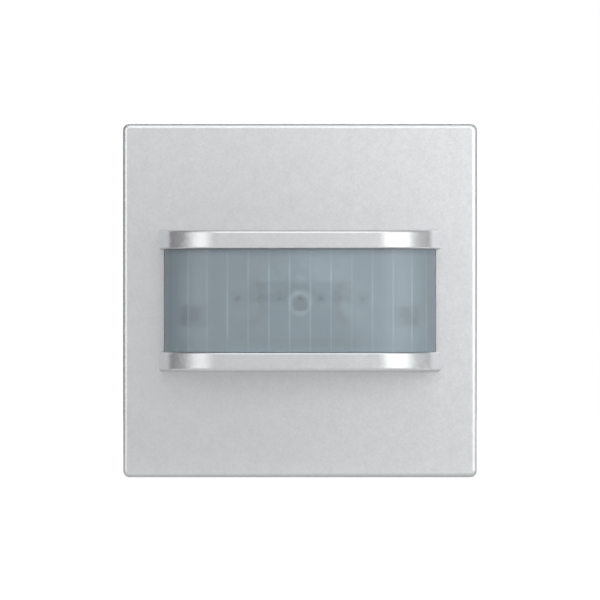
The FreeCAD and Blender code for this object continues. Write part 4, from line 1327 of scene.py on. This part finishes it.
    def make(self) -> None:
        """Build the lens in place of its CAD node."""
        deselect_all()
        bpy.ops.mesh.primitive_plane_add(
            size=1, location=(0, self.front_y, 0), rotation=(math.pi / 2, 0, 0)
        )
        skin = bpy.context.active_object
        skin.scale = (2 * self.stops()[0], 2 * self.half_height, 1)
        settle(skin)
        for side in (1, -1):
            self.draw_half(skin, side)
        self.spread_heights(skin)
        dress(skin, *(
            MilkyPolyethylene(f"{MilkyPolyethylene.name}_{zone.label}", zone).make()
            for zone in LensZone
        ))
        face_outward(skin)
        self.raise_borders(skin)
        self.unroll(skin)
        apply_modifier(
            skin, "SOLIDIFY", thickness=self.thickness, offset=-1.0, use_even_offset=True,
            material_offset=LensZone.GROOVED.slot, material_offset_rim=LensZone.SKIN.slot,
        )
        make_active(skin)
        bpy.ops.object.shade_smooth_by_angle(angle=math.radians(self.smooth_below))
        finish_piece(skin, "lens_panel")
        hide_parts("fresnel_lens")


class DialSign(Enum):
    """What a dial sets, by the sign above its scale."""

    CLOCK = "clock"
    SUN = "sun"
    CONE = "cone"


@dataclass
class DialScale:
    """Pad-printed scale round one setting dial, on the rear wall.

    Seen from behind, it runs clockwise from minus to plus and its ticks grow.

    Attributes:
        name: The dial's name.
        middle_x: The dial's axis, across.
        sign: What the dial sets.
        middle_z: The dial's axis, up.
        wall_y: The rear wall's face.
        ink: Thickness of the ink.
        line: Width of a printed line.
        corner: How much of a line's corners is round.
        corner_steps: Facets in such a corner.
        radius: From the dial's axis to where each tick starts.
        sweep: How far the dial turns each way, in degrees.
        ticks: How many there are.
        shortest: Length of the first tick.
        longest: Length of the last tick.
        end_angle: Where minus and plus stand, in degrees from the top.
        end_radius: Their distance from the axis.
        end_size: Their width.
        sign_lift: The sign's height above the axis.
        sign_radius: Half the sign's height, which the next five are shares of.
        minute_hand: Middle and length of the clock's long hand, which points up.
        hour_hand: Middle and length of its short hand, which points right.
        ray: Middle and length of a ray of the sun.
        disc: Radius of the sun's disc.
        cone: Radius of the cone's corners.
        rays: How many rays the sun has.
        clock_corners: Corners of the clock's ring.
        disc_corners: Corners of the sun's disc.
    """

    name: str
    middle_x: float
    sign: DialSign
    middle_z: float = -10.5 * MM
    wall_y: float = 12.0 * MM
    ink: float = 0.05 * MM
    line: float = 0.22 * MM
    corner: float = 0.06 * MM
    corner_steps: int = 3
    radius: float = 3.2 * MM
    sweep: float = 135.0
    ticks: int = 11
    shortest: float = 0.35 * MM
    longest: float = 0.9 * MM
    end_angle: float = 155.0
    end_radius: float = 3.75 * MM
    end_size: float = 0.9 * MM
    sign_lift: float = 5.6 * MM
    sign_radius: float = 0.9 * MM
    minute_hand: tuple[float, float] = (0.26, 0.74)
    hour_hand: tuple[float, float] = (0.2, 0.6)
    ray: tuple[float, float] = (0.8, 0.4)
    disc: float = 0.42
    cone: float = 1.1
    rays: int = 8
    clock_corners: int = 32
    disc_corners: int = 24

    def thicken(self, mark: Object) -> None:
        """Give a flat mark the ink's thickness and close it.

        Args:
            mark: The mark.
        """
        edit_all(mark)
        bpy.ops.mesh.extrude_region_move(TRANSFORM_OT_translate={"value": (0, self.ink, 0)})
        bpy.ops.object.mode_set(mode="OBJECT")
        face_outward(mark)

    def model_line(self) -> Object:
        """Model one upright line at the origin, as long as the longest tick.

        Returns:
            The line.
        """
        deselect_all()
        bpy.ops.mesh.primitive_plane_add(size=1, rotation=(-math.pi / 2, 0, 0))
        mark = bpy.context.active_object
        mark.scale = (self.line, self.longest, 1)
        settle(mark)
        edit_all(mark)
        bpy.ops.mesh.bevel(
            offset=self.corner, segments=self.corner_steps, affect="VERTICES"
        )
        bpy.ops.object.mode_set(mode="OBJECT")
        self.thicken(mark)
        return mark

    def model_shape(self, corners: int, radius: float, hollow: bool) -> Object:
        """Model a disc, ring or triangle at the sign's place.

        Args:
            corners: How many corners it has.
            radius: Its outer radius.
            hollow: Whether only its outline is printed.

        Returns:
            The mark.
        """
        deselect_all()
        bpy.ops.mesh.primitive_circle_add(
            vertices=corners, radius=radius, fill_type="NGON",
            location=(self.middle_x, self.wall_y, self.middle_z + self.sign_lift),
            rotation=(-math.pi / 2, 0, 0),
        )
        mark = bpy.context.active_object
        settle(mark)
        if hollow:
            edit_all(mark)
            bpy.ops.mesh.inset(thickness=self.line)
            bpy.ops.mesh.delete(type="FACE")
            bpy.ops.object.mode_set(mode="OBJECT")
        self.thicken(mark)
        return mark

    def fuse(self, mark: Object, other: Object) -> Object:
        """Merge a mark that crosses another into it.

        Args:
            mark: The mark that stays.
            other: The mark that it takes in.

        Returns:
            The whole.
        """
        apply_modifier(mark, "BOOLEAN", operation="UNION", object=other, solver="EXACT")
        bpy.data.objects.remove(other)
        return mark

    def stamp(
        self, line: Object, up: float, radius: float, angle: float, length: float,
        tilt: float = 0.0,
    ) -> Object:
        """Print a copy of the line at a clock angle round a point above the dial's axis.

        Args:
            line: The modelled line.
            up: The point's height above the axis.
            radius: The copy's middle, from the point.
            angle: Degrees clockwise from the top, seen from behind.
            length: The copy's length.
            tilt: Further degrees that the copy itself is turned.

        Returns:
            The copy.
        """
        make_active(line)
        bpy.ops.object.duplicate()
        mark = bpy.context.active_object
        turn = math.radians(angle)
        mark.location = (
            self.middle_x - radius * math.sin(turn), self.wall_y,
            self.middle_z + up + radius * math.cos(turn),
        )
        mark.rotation_euler = (0, -turn - math.radians(tilt), 0)
        mark.scale = (1, 1, length / self.longest)
        return mark

    def print_ticks(self, line: Object) -> list[Object]:
        """Print the ticks, and minus and plus at their ends.

        Args:
            line: The modelled line.

        Returns:
            The marks.
        """
        marks = []
        for number in range(self.ticks):
            share = number / (self.ticks - 1)
            length = self.shortest + share * (self.longest - self.shortest)
            angle = self.sweep * (2 * share - 1)
            marks.append(self.stamp(line, 0, self.radius + length / 2, angle, length))
        minus, level, upright = (
            self.stamp(line, 0, self.end_radius, angle, self.end_size, tilt)
            for angle, tilt in (
                (-self.end_angle, self.end_angle + 90), (self.end_angle, 90 - self.end_angle),
                (self.end_angle, -self.end_angle),
            )
        )
        return [*marks, minus, self.fuse(level, upright)]

    def print_sign(self, line: Object) -> list[Object]:
        """Print the sign above the scale.

        Args:
            line: The modelled line.

        Returns:
            The marks.
        """
        size, up = self.sign_radius, self.sign_lift
        if self.sign is DialSign.CONE:
            return [self.model_shape(3, size * self.cone, True)]
        if self.sign is DialSign.SUN:
            middle, length = self.ray
            rays = [
                self.stamp(line, up, size * middle, 360 * number / self.rays, size * length)
                for number in range(self.rays)
            ]
            return [self.model_shape(self.disc_corners, size * self.disc, False), *rays]
        minute, hour = (
            self.stamp(line, up, size * middle, angle, size * length)
            for (middle, length), angle in ((self.minute_hand, 0), (self.hour_hand, 90))
        )
        return [self.model_shape(self.clock_corners, size, True), self.fuse(minute, hour)]

    def make(self) -> None:
        """Print the whole scale as one piece."""
        line = self.model_line()
        marks = [*self.print_ticks(line), *self.print_sign(line)]
        make_active(marks[0])
        for mark in marks:
            mark.select_set(True)
        bpy.ops.object.join()
        scale = bpy.context.active_object
        bpy.data.objects.remove(line)
        dress(scale, Finish.INK.material())
        finish_piece(scale, self.name + "_scale")


@dataclass(frozen=True)
class SoftBox:
    """A lamp that faces the detector.

    Attributes:
        name: Its name.
        azimuth: Degrees to the right of straight in front.
        elevation: Degrees up.
        distance: From what it faces.
        size: Its width and height.
        radiance: Brightness of its face, where 1 is white.
    """

    name: str
    azimuth: float
    elevation: float
    distance: float
    size: tuple[float, float]
    radiance: float

    def hang(self, aim: Vector) -> None:
        """Hang the lamp.

        Args:
            aim: What it faces.
        """
        turn, rise = math.radians(self.azimuth), math.radians(self.elevation)
        way = Vector((
            math.sin(turn) * math.cos(rise), -math.cos(turn) * math.cos(rise), math.sin(rise)
        ))
        place = aim + self.distance * way
        deselect_all()
        bpy.ops.object.light_add(type="AREA", location=place)
        lamp = bpy.context.active_object
        lamp.name = self.name
        lamp.data.shape = "RECTANGLE"
        lamp.data.size, lamp.data.size_y = self.size
        lamp.data.energy = self.radiance * math.pi * self.size[0] * self.size[1]
        lamp.rotation_euler = (aim - place).to_track_quat("-Z", "Y").to_euler()
        lamp.visible_camera = False


@dataclass(frozen=True)
class ReflectorCard:
    """A card that shows only in reflections.

    Attributes:
        name: Its name.
        middle: Its middle.
        size: Its width and height.
        levels: Brightness at its middle, where 1 is white, and how much that rises per
            metre along its width and height.
        turn: Its rotation in degrees. Unturned, it lies flat and faces up.
        twist: How much the rise along its width grows per metre of its height, for a
            card that stands upright across the camera's axis.
    """

    name: str
    middle: tuple[float, float, float]
    size: tuple[float, float]
    levels: tuple[float, float, float]
    turn: tuple[float, float, float] = (0, 0, 0)
    twist: float = 0.0

    def glow(self) -> Material:
        """Build the card's own light.

        Returns:
            The material.
        """
        material, tree = new_material(self.name)
        place = add_node(tree, "TexCoord").outputs["Object"]
        middle_level, *rises = self.levels
        rise = add_node(tree, "VectorMath", [place, (*rises, 0)], operation="DOT_PRODUCT")
        middle = (self.middle[0], self.middle[2], 0)
        from_axis = add_node(tree, "VectorMath", [place, middle], operation="ADD")
        sides = add_node(tree, "SeparateXYZ", [from_axis])
        corner = add_node(
            tree, "Math", [sides.outputs[0], sides.outputs[1]], operation="MULTIPLY"
        )
        twisted = add_node(tree, "Math", [corner, self.twist, rise], operation="MULTIPLY_ADD")
        level = add_node(tree, "Math", [twisted, middle_level], operation="ADD")
        light = add_node(tree, "Emission", {"Color": linear("FFFFFF"), "Strength": level})
        add_node(tree, "OutputMaterial", [light])
        return material

    def hang(self) -> None:
        """Hang the card and hide it from all but glossy rays."""
        deselect_all()
        bpy.ops.mesh.primitive_plane_add(
            size=1, location=self.middle, rotation=[math.radians(a) for a in self.turn]
        )
        card = bpy.context.active_object
        card.name = self.name
        card.scale = (*self.size, 1)
        bpy.ops.object.transform_apply(location=False, rotation=False, scale=True)
        dress(card, self.glow())
        card.visible_camera = False
        card.visible_diffuse = False
        card.visible_shadow = False
        card.visible_transmission = False


# Two boxes a side light the edges and the rails' bends, the wide ones to soften their
# limits. The top box lights the upper faces, and the rear one the housing behind.
SOFT_BOXES = (
    SoftBox("right_soft_box", 37, 2, 0.6, (0.62, 0.42), 1.4),
    SoftBox("right_wide_box", 43, 2, 0.6, (0.94, 0.42), 0.36),
    SoftBox("left_soft_box", -42, 2, 0.6, (0.32, 0.42), 0.87),
    SoftBox("left_wide_box", -46, 2, 0.6, (0.62, 0.42), 0.18),
    SoftBox("top_soft_box", 3, 36, 0.6, (0.36, 0.48), 0.9),
    SoftBox("rear_soft_box", 165, 28, 0.9, (0.8, 0.6), 2.0),
)
# The front card is the dimmer room that the plate's face mirrors, brighter to the upper
# right. The side and top cards are the dark of the room that the bends mirror, and the
# table cards what the lower edge mirrors of the surface just under it.
CARDS = (
    ReflectorCard(
        "front_card", (-0.018, -0.2, -0.02), (0.112, 0.12), (0.72, 0.8, 1.1), (90, 0, 0), 70.0
    ),
    ReflectorCard("left_card", (-0.32, 0.3, 0.1), (0.84, 0.8), (0.24, -0.55, 0), (90, 0, 90)),
    ReflectorCard("right_card", (0.32, 0.32, 0.1), (0.8, 0.8), (0.4, -0.95, 0), (90, 0, 90)),
    ReflectorCard("near_table_card", (0, -0.01665, -0.03151), (0.3, 0.0147), (0.93, 0, 0)),
    ReflectorCard("edge_table_card", (0, -0.00465, -0.03151), (0.3, 0.0093), (0.7, 0, 0)),
    ReflectorCard("top_card", (0, 0.2, 0.34), (0.64, 0.32), (0.25, 0, 0)),
    ReflectorCard("table_card", (0, -0.168, -0.031), (0.6, 0.288), (0.84, 0, 0)),
    ReflectorCard("left_table_card", (-0.2, 0.16, -0.031), (0.24, 0.36), (0.32, 0, 0)),
)


@dataclass
class Studio:
    """Camera, lamps, floor and surroundings.

    Attributes:
        distance: From the camera to the plate's face.
        frame_width: Width of the view at the plate's face.
        focus_y: The plate's face.
        lift: How far the camera's axis lies above the plate's middle.
        sensor: Width of the camera's sensor, in millimetres.
        clip: Nearest and farthest distance that the camera sees.
        fill: Strength of the white surroundings where they light matt surfaces.
        floor_z: Height of the floor, under the plate's lower edge.
        floor_radius: Radius of the floor.
        floor_corners: Corners of its rim.
        floor_colour: The matt floor.
        floor_glow: What lifts it to white in the camera's view.
    """

    distance: float = 2.0
    frame_width: float = 106.8 * MM
    focus_y: float = -9.0 * MM
    lift: float = 0.1 * MM
    sensor: float = 36.0
    clip: tuple[float, float] = (0.01, 50.0)
    fill: float = 0.345
    floor_z: float = -31.52 * MM
    floor_radius: float = 3.0
    floor_corners: int = 96
    floor_colour: str = "F2F2F2"
    floor_glow: float = 0.71

    def add_camera(self) -> None:
        """Stand the camera straight in front, at the height of the plate's middle."""
        deselect_all()
        bpy.ops.object.camera_add(
            location=(0, self.focus_y - self.distance, self.lift),
            rotation=(math.pi / 2, 0, 0),
        )
        camera = bpy.context.active_object
        camera.name = "camera"
        camera.data.sensor_width = self.sensor
        camera.data.lens = self.sensor * self.distance / self.frame_width
        camera.data.clip_start, camera.data.clip_end = self.clip
        bpy.context.scene.camera = camera

    def seen_rays(self, tree: NodeTree) -> Node:
        """Tell the rays that show the background from those that light.

        Args:
            tree: The node tree.

        Returns:
            1 for camera, glossy and transmission rays, else 0.
        """
        rays = add_node(tree, "LightPath")
        camera, glossy, through = (
            rays.outputs[f"Is {kind} Ray"] for kind in ("Camera", "Glossy", "Transmission")
        )
        seen = add_node(tree, "Math", [camera, glossy], operation="MAXIMUM")
        return add_node(tree, "Math", [seen, through], operation="MAXIMUM")

    def light_world(self) -> None:
        """Surround with white that is dimmer where it lights matt surfaces."""
        world = bpy.data.worlds.new("white_surround")
        bpy.context.scene.world = world
        world.use_nodes = True
        tree = world.node_tree
        tree.nodes.clear()
        strength = add_node(
            tree, "MapRange",
            {"Value": self.seen_rays(tree), "To Min": self.fill, "To Max": 1.0},
        )
        backdrop = add_node(
            tree, "Background", {"Color": linear("FFFFFF"), "Strength": strength}
        )
        add_node(tree, "OutputWorld", [backdrop])

    def lay_floor(self) -> None:
        """Lay a white floor that reads as the background and keeps the shadow."""
        deselect_all()
        bpy.ops.mesh.primitive_circle_add(
            vertices=self.floor_corners, radius=self.floor_radius, fill_type="NGON",
            location=(0, 0, self.floor_z),
        )
        floor = bpy.context.active_object
        floor.name = "floor"
        material, tree = new_material("white_floor")
        matt = add_node(tree, "BsdfDiffuse", {"Color": linear(self.floor_colour)})
        glow = add_node(
            tree, "Emission", {"Color": linear("FFFFFF"), "Strength": self.floor_glow}
        )
        lift = add_node(tree, "MixShader", [self.seen_rays(tree), None, glow])
        both = add_node(tree, "AddShader", [matt, lift])
        add_node(tree, "OutputMaterial", [both])
        dress(floor, material)

    def build(self) -> None:
        """Set up everything."""
        bpy.context.scene.view_settings.view_transform = "Standard"
        self.add_camera()
        self.light_world()
        self.lay_floor()
        for lamp in SOFT_BOXES:
            lamp.hang(Vector((0, self.focus_y, 0)))
        for card in CARDS:
            card.hang()


def main() -> None:
    """Light the detector, dress its CAD nodes and build what replaces or adds to them."""
    logging.basicConfig(level=logging.INFO, format="%(message)s")
    Studio().build()
    for finish, nodes in CAD_FINISHES.items():
        for name in nodes:
            dress(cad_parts[name], finish.material())
            LOG.info("%s: CAD node, dressed in %s", name, finish.value.name)
    LensPanel().make()
    for scale in (
        DialScale("time_dial", -10.5 * MM, DialSign.CLOCK),
        DialScale("lux_dial", 0.0, DialSign.SUN),
        DialScale("range_dial", 10.5 * MM, DialSign.CONE),
    ):
        scale.make()


if __name__ == "__main__":
    main()
